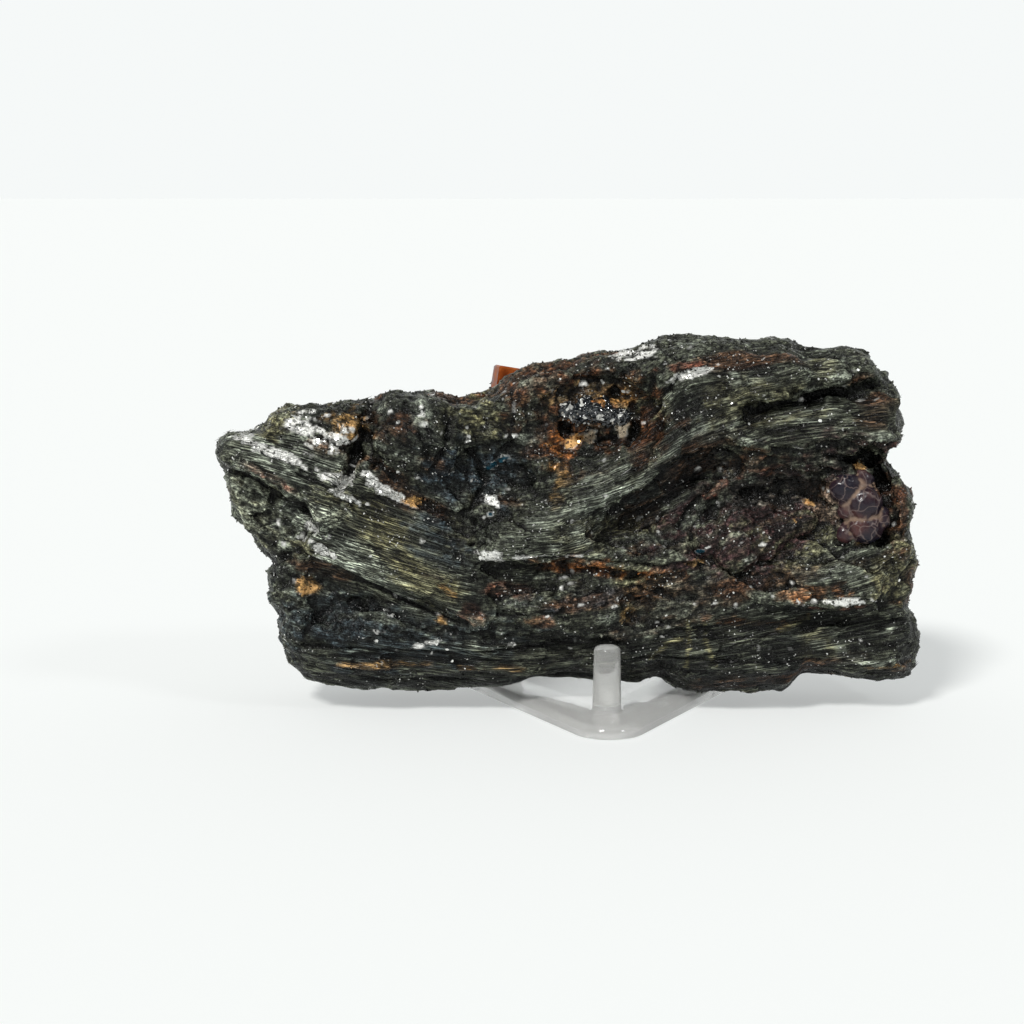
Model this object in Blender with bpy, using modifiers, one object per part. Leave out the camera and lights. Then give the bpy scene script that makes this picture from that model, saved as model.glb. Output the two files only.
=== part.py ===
# Hand specimen of dark fibrous rock with botryoidal zircon, standing on its long edge
# between the three pegs of a small clear stand.
# Metres, +Z up. +X runs along the specimen and its shown face looks towards -Y.
# The origin is on the surface that the stand stands on, under the middle of the object.

import math

import bmesh
import bpy
import numpy as np
from mathutils import Euler, Matrix, Vector, noise

MM = 0.001
FIT_GAP = 0.35  # clearance, in mm, between a piece and the seat cut for it
LOBED_FIT_GAP = 0.5  # the same round the rounded masses, whose seats are coarser
MERGE_DISTANCE = 0.00001

# Outline of the specimen seen from the front, (X, Z) in mm, clockwise from the left tip
OUTLINE = [
    (-34.8, 26.6), (-33.7, 27.5), (-31.8, 27.9), (-30.0, 28.9), (-28.7, 30.1), (-27.7, 30.4),
    (-25.3, 30.5), (-24.5, 30.2), (-22.2, 30.8), (-19.2, 31.2), (-17.4, 32.0), (-13.4, 31.8),
    (-10.8, 31.1), (-8.2, 31.8), (-6.6, 32.6), (-4.6, 33.8), (-3.4, 34.3), (-2.0, 34.2),
    (-0.6, 35.0), (1.5, 35.5), (4.5, 35.9), (7.4, 36.6), (8.6, 37.0), (12.4, 37.2),
    (17.3, 36.8), (20.3, 36.8), (22.3, 35.9), (23.5, 35.7), (26.6, 36.3), (28.7, 35.9),
    (29.9, 34.2), (31.1, 33.5), (32.1, 31.9), (31.7, 30.6), (32.5, 29.2), (32.0, 27.9),
    (30.9, 26.2), (31.0, 25.0), (32.4, 23.7), (33.4, 21.8), (34.0, 19.8), (33.4, 18.9),
    (33.8, 16.7), (34.4, 15.7), (34.2, 14.2), (34.6, 12.4), (33.2, 10.4), (34.4, 8.9),
    (35.4, 6.9), (34.8, 5.4), (34.3, 3.4), (33.2, 2.7), (29.2, 2.6), (23.4, 3.0),
    (22.8, 2.0), (21.6, 1.5), (15.9, 1.6), (12.3, 1.4), (10.6, 2.0), (9.8, 3.1),
    (8.5, 3.4), (7.0, 2.3), (2.4, 2.6), (-3.2, 3.0), (-9.0, 1.8), (-13.5, 1.4),
    (-18.6, 1.6), (-22.6, 1.9), (-26.2, 2.5), (-28.4, 4.2), (-29.3, 8.1), (-29.0, 9.7),
    (-30.3, 11.6), (-29.8, 13.8), (-28.9, 15.4), (-30.3, 15.9), (-32.0, 18.6), (-33.1, 20.4),
    (-34.3, 24.4),
]
SLAB_FRONT = -5.9
SLAB_BACK = 7.9
REMESH_CELL = 0.55
ROCK_TRIANGLES = 6300
SPINE_HEIGHT = 18.5
SPINE_ENDS = (-20.0, 22.0)

# Stand: a plate with three pegs moulded on it, sizes in mm
PLATE_CENTRE_X = 3.5
PLATE_FRONT = -14.1
PLATE_THICKNESS = 1.2
PLATE_EDGE_ROUND = 0.8
PLATE_SIDE = 24.3  # between the centres of two corner rounds
CORNER_RADIUS = 3.6
PEG_INSET = 2.8  # from a corner's centre towards the plate's middle
PEG_TOP = 7.7
PEG_TOP_RADIUS = 1.3
PEG_FOOT_RADIUS = 1.42
PEG_FILLET = 0.35
PEG_SIDES = 20
PLATE_CLEARANCE_SIZE = (40.0, 32.0, 8.0)  # block under the rock that keeps it off the plate

# Zircon crystal behind the top edge: a square prism with a low pyramid at the back
CRYSTAL_WIDTH = 5.4
CRYSTAL_LENGTH = 6.4
CRYSTAL_POINT = 2.3
CRYSTAL_EDGE_WEAR = 0.18
CRYSTAL_CENTRE = (-4.75, 1.4, 31.05)
CRYSTAL_TURN = (math.radians(3), math.radians(9), math.radians(6))

# Rounded zircon masses, each a list of lobes: X, Y, Z, radius in mm
LOBE_CELL = 0.3
LOBE_FLATTENING = 0.8
LOBED_SEAT_TRIANGLES = 160
RIGHT_KNOBS = [
    (26.6, -5.3, 22.8, 1.6), (28.5, -5.5, 21.3, 1.75), (28.7, -5.3, 18.9, 1.7),
    (30.1, -5.0, 19.9, 1.2), (27.1, -4.9, 20.7, 1.2), (28.4, -4.8, 23.5, 1.1),
    (26.9, -4.8, 18.2, 1.2),
]
CENTRE_KNOBS = [
    (13.6, -4.6, 17.6, 1.9), (16.2, -5.0, 16.7, 2.5), (18.7, -4.7, 17.4, 2.1),
    (16.2, -4.5, 19.2, 2.0), (20.6, -4.2, 18.7, 1.9), (12.0, -4.2, 16.2, 1.4),
    (22.7, -4.2, 19.4, 1.5), (18.6, -4.0, 20.2, 1.6),
]
POCKET_GRAINS = [
    (-0.5, -4.9, 30.3, 0.95), (0.8, -5.1, 29.9, 1.1), (2.2, -5.2, 30.2, 1.15),
    (3.5, -5.1, 29.8, 1.1), (4.8, -4.9, 29.7, 1.0), (1.4, -4.8, 31.0, 0.9), (3.2, -4.7, 30.9, 0.8),
]

# Shape of the two broad faces, (X, Z) lines from left to right; heights in mm.
# A ledge is a step that stands out above its line and fades upwards.
FRONT_LEDGES = [
    ([(-28.8, 6.2), (-18.7, 6.8), (-8.9, 6.4), (-3.0, 7.5), (5.0, 7.8)], 1.7, 4.5),
    ([(15.3, 26.6), (21.1, 27.0), (25.9, 28.0), (31.6, 27.4)], 2.6, 5.0),
    ([(17.5, 11.9), (24.3, 11.2), (30.5, 11.7)], 1.7, 3.0),
    ([(-35.0, 26.8), (-29.9, 24.2), (-25.8, 21.7), (-24.2, 19.4), (-26.2, 17.0)], 2.7, 7.0),
    ([(-9.1, 15.2), (-3.0, 15.6), (2.8, 15.2), (8.7, 14.6), (12.6, 15.0)], 1.6, 2.5),
    ([(3.6, 22.8), (7.3, 25.4), (8.9, 29.0), (8.2, 32.0)], -1.3, 4.0),
    ([(-27.0, 16.6), (-22.0, 14.6), (-14.0, 12.0), (-8.0, 9.0)], 1.2, 5.0),
    ([(-24.0, 22.4), (-16.0, 22.4), (-9.0, 19.6)], 0.9, 3.0),
    ([(5.4, 33.2), (11.0, 34.4), (17.0, 34.2)], 0.9, 3.0),
]
# A groove is a crack: its line, depth and half width
FRONT_GROOVES = [
    ([(-9.1, 15.2), (-3.0, 15.6), (2.8, 15.2), (8.7, 14.6), (12.6, 15.2)], 1.0, 0.6),
    ([(16.2, 30.3), (21.0, 31.2), (25.7, 32.2), (32.0, 33.0)], 2.0, 0.7),
    ([(30.6, 17.5), (30.7, 21.7), (29.9, 24.8)], 1.8, 0.7),
    ([(-22.4, 22.5), (-21.2, 25.4), (-19.8, 28.5), (-19.2, 31.6)], 1.3, 0.6),
    ([(2.8, 17.6), (8.6, 21.5), (12.4, 24.6), (16.2, 26.0)], 2.1, 1.6),
    ([(8.0, 8.9), (14.6, 8.5), (22.4, 9.6), (32.5, 9.6)], 0.8, 0.6),
    ([(15.2, 4.4), (15.4, 7.8)], 0.5, 0.4),
    ([(19.0, 3.6), (19.3, 7.9)], 0.5, 0.4),
]
# A ridge is a raised band: its line, height and half width
FRONT_RIDGES = [
    ([(-8.3, 17.4), (-1.1, 20.2), (4.7, 24.2), (10.4, 27.8), (16.2, 31.6), (21.9, 34.6)], 1.8, 2.1),
    ([(-2.0, 17.6), (4.6, 20.0), (9.6, 23.4)], 0.6, 0.7),
    ([(-33.5, 27.0), (-28.2, 25.0), (-21.9, 22.7)], 0.9, 1.0),
    ([(-26.0, 20.4), (-17.0, 17.0), (-8.0, 12.6)], 0.9, 2.4),
    ([(13.0, 22.2), (19.0, 24.4), (27.0, 25.4)], 0.7, 0.8),
]
# A mound or a hollow: centre X, Z, half sizes, turn in degrees, height
FRONT_MOUNDS = [
    (20.4, 20.8, 11.6, 5.2, 12, -2.4),
    (28.4, 25.9, 2.2, 1.1, 0, -2.6),
    (1.6, 29.9, 6.2, 4.6, 10, -2.2),
    (-14.6, 28.0, 5.2, 5.0, 0, 2.1),
    (-16.6, 17.0, 9.5, 5.6, -25, 1.0),
    (-27.2, 12.4, 3.0, 3.6, 0, 1.1),
    (-19.0, 9.4, 6.0, 2.4, 6, 0.9),
    (-1.1, 10.8, 7.0, 2.6, -3, 1.2),
    (27.2, 13.9, 5.8, 2.6, 4, 1.2),
    (32.0, 19.0, 2.0, 4.6, 0, 1.0),
    (17.0, 3.6, 5.6, 2.2, 0, 1.2),
    (9.0, 33.8, 7.5, 2.6, -4, 0.8),
    (-7.4, 24.0, 4.6, 3.8, 0, -1.4),
    (-26.6, 28.4, 3.6, 2.0, 20, -0.9),
    (25.6, 34.2, 4.4, 1.8, 0, 0.7),
    (7.4, 11.4, 3.6, 2.0, 0, -0.8),
]
BACK_LEDGES = [
    ([(-35.0, 13.6), (-22.0, 12.0), (-8.0, 13.8), (6.0, 11.4), (20.0, 12.8), (35.0, 12.0)], 1.5, 6.0),
    ([(-31.0, 21.4), (-16.0, 23.8), (-4.0, 21.6), (9.0, 24.0)], 1.7, 5.0),
    ([(6.0, 19.6), (14.0, 18.2), (24.0, 20.6), (34.0, 19.4)], 1.6, 6.0),
    ([(4.0, 28.6), (14.0, 30.8), (26.0, 29.4)], 1.3, 3.0),
    ([(-14.0, 7.6), (2.0, 6.4), (18.0, 7.8), (34.0, 6.6)], 1.0, 3.0),
]
BACK_GROOVES = [
    ([(-24.0, 17.6), (-10.0, 18.9), (4.0, 16.8)], 1.1, 0.6),
    ([(10.0, 27.0), (20.0, 25.4), (31.0, 27.2)], 1.4, 0.6),
    ([(-12.0, 24.0), (-10.6, 28.0), (-9.8, 31.5)], 1.1, 0.6),
    ([(16.0, 9.0), (17.4, 13.0), (16.2, 17.6)], 0.9, 0.5),
]
BACK_RIDGES = [
    ([(-30.0, 19.6), (-16.0, 21.0), (-2.0, 19.6)], 0.9, 1.0),
    ([(6.0, 15.2), (18.0, 15.9), (31.0, 17.4)], 1.0, 1.1),
]
BACK_MOUNDS = [
    (-4.4, 30.8, 4.8, 4.0, 0, -1.5),
    (24.0, 23.4, 8.0, 3.0, 8, 1.3),
    (-23.0, 27.0, 7.0, 3.2, 10, 1.4),
    (-19.0, 9.6, 8.0, 2.6, -6, 1.1),
    (14.0, 33.6, 8.0, 2.4, 0, -1.0),
    (6.0, 20.6, 5.0, 3.0, -12, -1.2),
    (-29.0, 15.0, 3.4, 4.0, 0, -0.9),
    (28.0, 8.8, 5.0, 2.4, 0, -0.8),
]


# Scene and materials

def clear_scene():
    for obj in list(bpy.data.objects):
        bpy.data.objects.remove(obj)


def make_collection(name):
    collection = bpy.data.collections.new(name)
    bpy.context.scene.collection.children.link(collection)
    return collection


def make_material(name, color, roughness, transmission=0.0, ior=1.5):
    material = bpy.data.materials.new(name)
    material.use_nodes = True
    shader = material.node_tree.nodes["Principled BSDF"]
    shader.inputs["Base Color"].default_value = (*color, 1.0)
    shader.inputs["Roughness"].default_value = roughness
    shader.inputs["Metallic"].default_value = 0.0
    shader.inputs["Transmission Weight"].default_value = transmission
    shader.inputs["IOR"].default_value = ior
    return material


def add_object(name, data, collection, material=None):
    obj = bpy.data.objects.new(name, data)
    if material:
        data.materials.append(material)
    collection.objects.link(obj)
    return obj


def baked(obj):
    """The object's evaluated mesh in world space; the object is removed."""
    bpy.context.view_layer.update()
    graph = bpy.context.evaluated_depsgraph_get()
    mesh = bpy.data.meshes.new_from_object(obj.evaluated_get(graph))
    mesh.transform(obj.matrix_world)
    bpy.data.objects.remove(obj)
    work = bmesh.new()
    work.from_mesh(mesh)
    bmesh.ops.remove_doubles(work, verts=work.verts, dist=MERGE_DISTANCE)
    work.to_mesh(mesh)
    work.free()
    return mesh


def remeshed(mesh, cell, collection):
    """One closed skin round everything in mesh, made of even cells."""
    obj = add_object("remesh_source", mesh, collection)
    remesh = obj.modifiers.new("Even cells", "REMESH")
    remesh.mode = "VOXEL"
    remesh.voxel_size = cell * MM
    return baked(obj)


def reduced(mesh, triangles, collection):
    """The mesh brought down to about this many triangles, keeping its form."""
    mesh.calc_loop_triangles()
    share = triangles / len(mesh.loop_triangles)
    obj = add_object("reduce_source", mesh, collection)
    decimate = obj.modifiers.new("Fewer faces", "DECIMATE")
    decimate.ratio = min(1.0, share)
    return baked(obj)


def without_crumbs(mesh):
    """The mesh's largest body: small flakes that a cut has set loose are left out."""
    work = bmesh.new()
    work.from_mesh(mesh)
    bodies = []
    waiting = set(work.verts)
    while waiting:
        edge_of_body = [waiting.pop()]
        body = list(edge_of_body)
        while edge_of_body:
            vertex = edge_of_body.pop()
            for edge in vertex.link_edges:
                other = edge.other_vert(vertex)
                if other in waiting:
                    waiting.remove(other)
                    edge_of_body.append(other)
                    body.append(other)
        bodies.append(body)
    bodies.sort(key=len)
    for crumb in bodies[:-1]:
        bmesh.ops.delete(work, geom=crumb, context="VERTS")
    work.to_mesh(mesh)
    work.free()
    return mesh


def cut_with(obj, cutter):
    """Cuts the seat of a neighbouring piece; the cutter stays hidden."""
    cutter.hide_render = True
    cutter.display_type = "WIRE"
    boolean = obj.modifiers.new("Seat of " + cutter.name, "BOOLEAN")
    boolean.operation = "DIFFERENCE"
    boolean.object = cutter


# Relief of the rock's broad faces

def ramp(value, start, end):
    """0 before start, 1 after end, smooth in between."""
    share = np.clip((value - start) / (end - start), 0.0, 1.0)
    return share * share * (3 - 2 * share)


def measure_line(x, z, line):
    """Distance to a line, height above it, and a factor that fades past its ends."""
    nearest = np.full(x.shape, 1e9)
    above = np.zeros_like(x)
    for (x0, z0), (x1, z1) in zip(line, line[1:]):
        run, rise = x1 - x0, z1 - z0
        share = np.clip(((x - x0) * run + (z - z0) * rise) / (run**2 + rise**2), 0, 1)
        gap = np.hypot(x - x0 - share * run, z - z0 - share * rise)
        side = np.sign(run * (z - z0) - rise * (x - x0))
        closer = gap < nearest
        nearest = np.where(closer, gap, nearest)
        above = np.where(closer, side * gap, above)
    (first_x, first_z), (last_x, last_z) = line[0], line[-1]
    length = math.hypot(last_x - first_x, last_z - first_z)
    along = ((x - first_x) * (last_x - first_x) + (z - first_z) * (last_z - first_z)) / length
    ends = ramp(along, -1.5, 1.5) * (1 - ramp(along, length - 1.5, length + 1.5))
    return nearest, above, ends


def relief(x, z, ledges, grooves, ridges, mounds):
    """How far a face stands out of its plane at each point, in mm."""
    height = np.zeros_like(x)
    for line, rise, fade in ledges:
        _, above, ends = measure_line(x, z, line)
        step = ramp(above, -0.3, 0.3) * np.exp(-np.maximum(above, 0) / fade)
        height += rise * step * ends
    for line, depth, half_width in grooves:
        gap, _, ends = measure_line(x, z, line)
        height -= depth * ends * np.exp(-((gap / half_width) ** 2))
    for line, rise, half_width in ridges:
        gap, _, ends = measure_line(x, z, line)
        height += rise * ends * np.exp(-((gap / half_width) ** 2))
    for centre_x, centre_z, half_x, half_z, turn, rise in mounds:
        c, s = math.cos(math.radians(turn)), math.sin(math.radians(turn))
        u = ((x - centre_x) * c + (z - centre_z) * s) / half_x
        v = ((z - centre_z) * c - (x - centre_x) * s) / half_z
        height += rise * np.clip(1 - u * u - v * v, 0, 1)
    return height


# How far the rim draws in towards the front and back faces, as a share of its distance
# from the specimen's spine: the lower front edge is a long bevel, the others are short.
RIM_WIDEST = 0.36
LOWER_FRONT_BEVEL = 0.19
FRONT_BEVEL = 0.05
BACK_BEVEL = 0.17
BEVEL_VARIATION = 0.10


def draw_in_rim(points):
    """Bevels the slab's rim by an amount that varies round the specimen."""
    depth = (points[:, 1] - SLAB_FRONT) / (SLAB_BACK - SLAB_FRONT)
    spine_x = np.clip(points[:, 0], *SPINE_ENDS)
    out_x = points[:, 0] - spine_x
    out_z = points[:, 2] - SPINE_HEIGHT
    below = ramp(-out_z, 4.0, 12.0)
    front_share = FRONT_BEVEL + (LOWER_FRONT_BEVEL - FRONT_BEVEL) * below
    back_share = np.empty_like(depth)
    for i, (px, _, pz) in enumerate(points):
        wave = noise.noise(Vector((px * 0.09, 7.3, pz * 0.09)))
        back_share[i] = BACK_BEVEL + BEVEL_VARIATION * wave
    back_share = back_share * (1 - 0.55 * below)
    towards_front = np.clip((RIM_WIDEST - depth) / RIM_WIDEST, 0, 1) ** 1.5
    towards_back = np.clip((depth - RIM_WIDEST) / (1 - RIM_WIDEST), 0, 1) ** 1.7
    keep = 1 - front_share * towards_front - back_share * towards_back
    points[:, 0] = spine_x + out_x * keep
    points[:, 2] = SPINE_HEIGHT + out_z * keep


def raise_faces(points):
    """Moves the front and back faces out and in by their relief."""
    depth = (points[:, 1] - SLAB_FRONT) / (SLAB_BACK - SLAB_FRONT)
    x, z = points[:, 0], points[:, 2]
    front = relief(x, z, FRONT_LEDGES, FRONT_GROOVES, FRONT_RIDGES, FRONT_MOUNDS)
    back = relief(x, z, BACK_LEDGES, BACK_GROOVES, BACK_RIDGES, BACK_MOUNDS)
    near_pegs = 1 - ramp(z, 6.5, 10.0)
    front = front * (1 - 0.5 * near_pegs)
    back = back * (1 - 0.7 * near_pegs) - 1.0 * near_pegs
    points[:, 1] -= front * (1 - ramp(depth, 0.2, 0.7))
    points[:, 1] += back * ramp(depth, 0.35, 0.85)


# Chips broken off the skin, each with its size and depth in mm; they are this much longer
# along the grain of the rock than across it
CHIPS = [(6.5, 1.0), (2.6, 0.55)]
CHIP_STRETCH = 2.2
GRAIN_SIZE = 1.1
GRAIN_DEPTH = 0.25


def roughen(points, normals):
    """Breaks the skin into flat-sided chips and leaves it grainy."""
    for i, point in enumerate(points):
        place = Vector((point[0] / CHIP_STRETCH, point[1], point[2] + 0.12 * point[0]))
        height = GRAIN_DEPTH * noise.noise(place / GRAIN_SIZE)
        for size, depth in CHIPS:
            near, centres = noise.voronoi(place / size)
            tilt = (place / size - centres[0]).dot(Vector((0.5, 0.4, 0.75)))
            height += depth * tilt * min(1.0, 3 * (near[1] - near[0]))
        points[i] += normals[i] * height


def rock_mesh(collection):
    """The specimen's rock: its outline as a slab, then bevelled, carved and roughened."""
    curve = bpy.data.curves.new("specimen_outline", "CURVE")
    curve.dimensions = "2D"
    curve.fill_mode = "BOTH"
    curve.extrude = (SLAB_BACK - SLAB_FRONT) / 2 * MM
    spline = curve.splines.new("POLY")
    spline.points.add(len(OUTLINE) - 1)
    for point, (x, z) in zip(spline.points, OUTLINE):
        point.co = (x * MM, z * MM, 0, 1)
    spline.use_cyclic_u = True
    slab = add_object("slab", curve, collection)
    slab.rotation_euler = (math.radians(90), 0, 0)
    slab.location.y = (SLAB_FRONT + SLAB_BACK) / 2 * MM
    mesh = remeshed(baked(slab), REMESH_CELL, collection)

    points = np.empty(len(mesh.vertices) * 3)
    mesh.vertices.foreach_get("co", points)
    points = points.reshape(-1, 3) / MM
    draw_in_rim(points)
    raise_faces(points)
    mesh.vertices.foreach_set("co", (points * MM).ravel())
    normals = np.array([vertex.normal for vertex in mesh.vertices])
    roughen(points, normals)
    mesh.vertices.foreach_set("co", (points * MM).ravel())
    mesh.update()
    return reduced(mesh, ROCK_TRIANGLES, collection)


# Zircon

def crystal_mesh(grow=0.0):
    """A square prism with a low pyramid on its back end, grown on every side by grow mm."""
    half = CRYSTAL_WIDTH / 2 + grow
    work = bmesh.new()
    bmesh.ops.create_cube(work, size=1.0)
    bmesh.ops.scale(work, verts=work.verts, vec=(2 * half, CRYSTAL_LENGTH + 2 * grow, 2 * half))
    work.faces.ensure_lookup_table()
    back = max(work.faces, key=lambda face: face.calc_center_median().y)
    point = bmesh.ops.poke(work, faces=[back])["verts"][0]
    point.co.y += CRYSTAL_POINT
    bmesh.ops.translate(work, verts=work.verts, vec=(0, CRYSTAL_LENGTH / 2, 0))
    turn = Euler(CRYSTAL_TURN).to_matrix().to_4x4()
    place = Matrix.Translation(Vector(CRYSTAL_CENTRE) * MM) @ turn @ Matrix.Scale(MM, 4)
    work.transform(place)
    mesh = bpy.data.meshes.new("crystal")
    work.to_mesh(mesh)
    work.free()
    return mesh


def wear_edges(obj, width):
    bevel = obj.modifiers.new("Worn edges", "BEVEL")
    bevel.width = width * MM
    bevel.segments = 1
    bevel.limit_method = "ANGLE"
    bevel.angle_limit = math.radians(20)


def lobed_mesh(lobes, triangles, collection, grow=0.0):
    """Rounded lobes grown together into one closed mass."""
    work = bmesh.new()
    for x, y, z, radius in lobes:
        place = Matrix.Translation(Vector((x, y, z)) * MM)
        squash = Matrix.Scale(LOBE_FLATTENING, 4, (0, 1, 0))
        size = (radius + grow) * MM
        bmesh.ops.create_icosphere(work, subdivisions=3, radius=size, matrix=place @ squash)
    mesh = bpy.data.meshes.new("lobes")
    work.to_mesh(mesh)
    work.free()
    return reduced(remeshed(mesh, LOBE_CELL, collection), triangles, collection)


# Stand

def corner_centres(inset):
    """Three points towards the corners of the plate: front, back right and back left."""
    reach = PLATE_SIDE / math.sqrt(3) - inset
    middle_y = PLATE_FRONT + CORNER_RADIUS + PLATE_SIDE / math.sqrt(3)
    centres = []
    for step in range(3):
        angle = math.radians(-90 + 120 * step)
        centres.append((PLATE_CENTRE_X + reach * math.cos(angle), middle_y + reach * math.sin(angle)))
    return centres


def plate_mesh(collection):
    """A triangle with round corners, its top edge rounded over."""
    curve = bpy.data.curves.new("plate_outline", "CURVE")
    curve.dimensions = "2D"
    curve.fill_mode = "BOTH"
    curve.extrude = PLATE_THICKNESS / 2 * MM
    outline = []
    arc_steps = 8
    for number, (x, y) in enumerate(corner_centres(0.0)):
        start = -150 + 120 * number
        for step in range(arc_steps + 1):
            angle = math.radians(start + 120 * step / arc_steps)
            outline.append((x + CORNER_RADIUS * math.cos(angle), y + CORNER_RADIUS * math.sin(angle)))
    spline = curve.splines.new("POLY")
    spline.points.add(len(outline) - 1)
    for point, (x, y) in zip(spline.points, outline):
        point.co = (x * MM, y * MM, 0, 1)
    spline.use_cyclic_u = True
    plate = add_object("plate", curve, collection)
    plate.location.z = PLATE_THICKNESS / 2 * MM
    mesh = baked(plate)
    work = bmesh.new()
    work.from_mesh(mesh)
    bmesh.ops.dissolve_limit(work, angle_limit=math.radians(1), verts=work.verts, edges=work.edges)
    top = [edge for edge in work.edges if min(v.co.z for v in edge.verts) > 0.9 * PLATE_THICKNESS * MM]
    bmesh.ops.bevel(work, geom=top, offset=PLATE_EDGE_ROUND * MM, segments=3, profile=0.5, affect="EDGES")
    work.to_mesh(mesh)
    work.free()
    return mesh


def peg_object(name, x, y, collection):
    """A peg that tapers upwards, with a fillet at its foot and a domed end."""
    foot = PLATE_THICKNESS
    profile = [
        (0.0, PEG_TOP), (PEG_TOP_RADIUS * 0.55, PEG_TOP - 0.06), (PEG_TOP_RADIUS * 0.9, PEG_TOP - 0.24),
        (PEG_TOP_RADIUS, PEG_TOP - 0.55), (PEG_FOOT_RADIUS, foot + PEG_FILLET),
        (PEG_FOOT_RADIUS + PEG_FILLET * 0.4, foot + PEG_FILLET * 0.3),
        (PEG_FOOT_RADIUS + PEG_FILLET, foot), (PEG_FOOT_RADIUS + PEG_FILLET, foot / 2), (0.0, foot / 2),
    ]
    mesh = bpy.data.meshes.new(name)
    edges = [(i, i + 1) for i in range(len(profile) - 1)]
    mesh.from_pydata([(radius * MM, 0, height * MM) for radius, height in profile], edges, [])
    peg = add_object(name, mesh, collection)
    screw = peg.modifiers.new("Turned", "SCREW")
    screw.steps = screw.render_steps = PEG_SIDES
    screw.use_merge_vertices = True
    screw.merge_threshold = MERGE_DISTANCE
    peg.location = (x * MM, y * MM, 0)
    return peg


def union_with(obj, other):
    other.hide_render = True
    other.display_type = "WIRE"
    boolean = obj.modifiers.new("Joined with " + other.name, "BOOLEAN")
    boolean.operation = "UNION"
    boolean.object = other


def seat_cutters(collection):
    """What the rock keeps clear of: the plate's top and the three pegs."""
    cutters = []
    work = bmesh.new()
    bmesh.ops.create_cube(work, size=1.0)
    bmesh.ops.scale(work, verts=work.verts, vec=Vector(PLATE_CLEARANCE_SIZE) * MM)
    middle = PLATE_THICKNESS + FIT_GAP - PLATE_CLEARANCE_SIZE[2] / 2
    bmesh.ops.translate(work, verts=work.verts, vec=(PLATE_CENTRE_X * MM, 0, middle * MM))
    mesh = bpy.data.meshes.new("plate_clearance")
    work.to_mesh(mesh)
    work.free()
    cutters.append(add_object("plate_clearance", mesh, collection))
    for number, (x, y) in enumerate(corner_centres(PEG_INSET)):
        work = bmesh.new()
        radius = (PEG_FOOT_RADIUS + PEG_FILLET + FIT_GAP) * MM
        height = 2 * (PEG_TOP + FIT_GAP) * MM
        bmesh.ops.create_cone(work, cap_ends=True, segments=16, radius1=radius, radius2=radius, depth=height)
        bmesh.ops.translate(work, verts=work.verts, vec=(x * MM, y * MM, 0))
        mesh = bpy.data.meshes.new(f"peg_clearance_{number}")
        work.to_mesh(mesh)
        work.free()
        cutters.append(add_object(f"peg_clearance_{number}", mesh, collection))
    return cutters


# Whole object

def build():
    clear_scene()
    parts = make_collection("botryoidal_zircon_specimen")
    helpers = make_collection("cutters")

    rock_material = make_material("dark_fibrous_rock", (0.045, 0.05, 0.04), 0.55)
    orange_zircon = make_material("orange_zircon", (0.42, 0.11, 0.025), 0.25)
    purple_zircon = make_material("purple_brown_zircon", (0.10, 0.045, 0.05), 0.3)
    dark_glassy = make_material("dark_glassy_mineral", (0.02, 0.03, 0.03), 0.12)
    clear_plastic = make_material("clear_plastic", (0.93, 0.93, 0.9), 0.15, transmission=1.0, ior=1.49)

    rock = add_object("uncut_rock", rock_mesh(helpers), helpers, rock_material)
    crystal = add_object("zircon_crystal", crystal_mesh(), parts, orange_zircon)
    wear_edges(crystal, CRYSTAL_EDGE_WEAR)
    cut_with(rock, add_object("crystal_seat", crystal_mesh(grow=FIT_GAP), helpers))

    masses = [
        ("zircon_knobs_right", RIGHT_KNOBS, 420, purple_zircon),
        ("zircon_knobs_centre", CENTRE_KNOBS, 460, purple_zircon),
        ("glassy_pocket_grains", POCKET_GRAINS, 380, dark_glassy),
    ]
    for name, lobes, triangles, material in masses:
        add_object(name, lobed_mesh(lobes, triangles, helpers), parts, material)
        seat = lobed_mesh(lobes, LOBED_SEAT_TRIANGLES, helpers, grow=LOBED_FIT_GAP)
        cut_with(rock, add_object(name + "_seat", seat, helpers))

    stand = add_object("acrylic_stand", plate_mesh(helpers), parts, clear_plastic)
    for number, (x, y) in enumerate(corner_centres(PEG_INSET)):
        union_with(stand, peg_object(f"peg_{number}", x, y, helpers))
    for cutter in seat_cutters(helpers):
        cut_with(rock, cutter)
    add_object("matrix_rock", without_crumbs(baked(rock)), parts)


build()
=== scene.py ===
import itertools
import math

import bmesh
import bpy
import numpy as np
from mathutils import Matrix, Vector, noise


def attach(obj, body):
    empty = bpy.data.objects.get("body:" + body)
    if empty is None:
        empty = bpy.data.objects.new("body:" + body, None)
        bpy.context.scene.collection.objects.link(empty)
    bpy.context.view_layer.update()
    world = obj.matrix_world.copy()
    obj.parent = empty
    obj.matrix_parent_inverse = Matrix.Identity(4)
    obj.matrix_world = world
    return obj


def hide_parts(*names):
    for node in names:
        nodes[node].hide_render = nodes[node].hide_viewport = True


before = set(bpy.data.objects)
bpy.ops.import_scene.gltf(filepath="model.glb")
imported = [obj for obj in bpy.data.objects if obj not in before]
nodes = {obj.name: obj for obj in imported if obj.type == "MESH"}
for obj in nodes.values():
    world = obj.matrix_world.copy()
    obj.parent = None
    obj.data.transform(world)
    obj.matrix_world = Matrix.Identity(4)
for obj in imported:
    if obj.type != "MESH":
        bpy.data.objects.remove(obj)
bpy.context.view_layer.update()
mm = 0.001
print("Solids loaded:", ", ".join(sorted(nodes)))

scene = bpy.context.scene
scene.view_settings.view_transform = "Standard"


# Small helpers for meshes

def placeObject(name, mesh):
    piece = bpy.data.objects.new(name, mesh)
    scene.collection.objects.link(piece)
    return piece


def finishedMesh(piece):
    # the evaluated shape as a plain mesh; the working object goes away
    bpy.context.view_layer.update()
    graph = bpy.context.evaluated_depsgraph_get()
    mesh = bpy.data.meshes.new_from_object(piece.evaluated_get(graph))
    bpy.data.objects.remove(piece)
    return mesh


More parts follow.
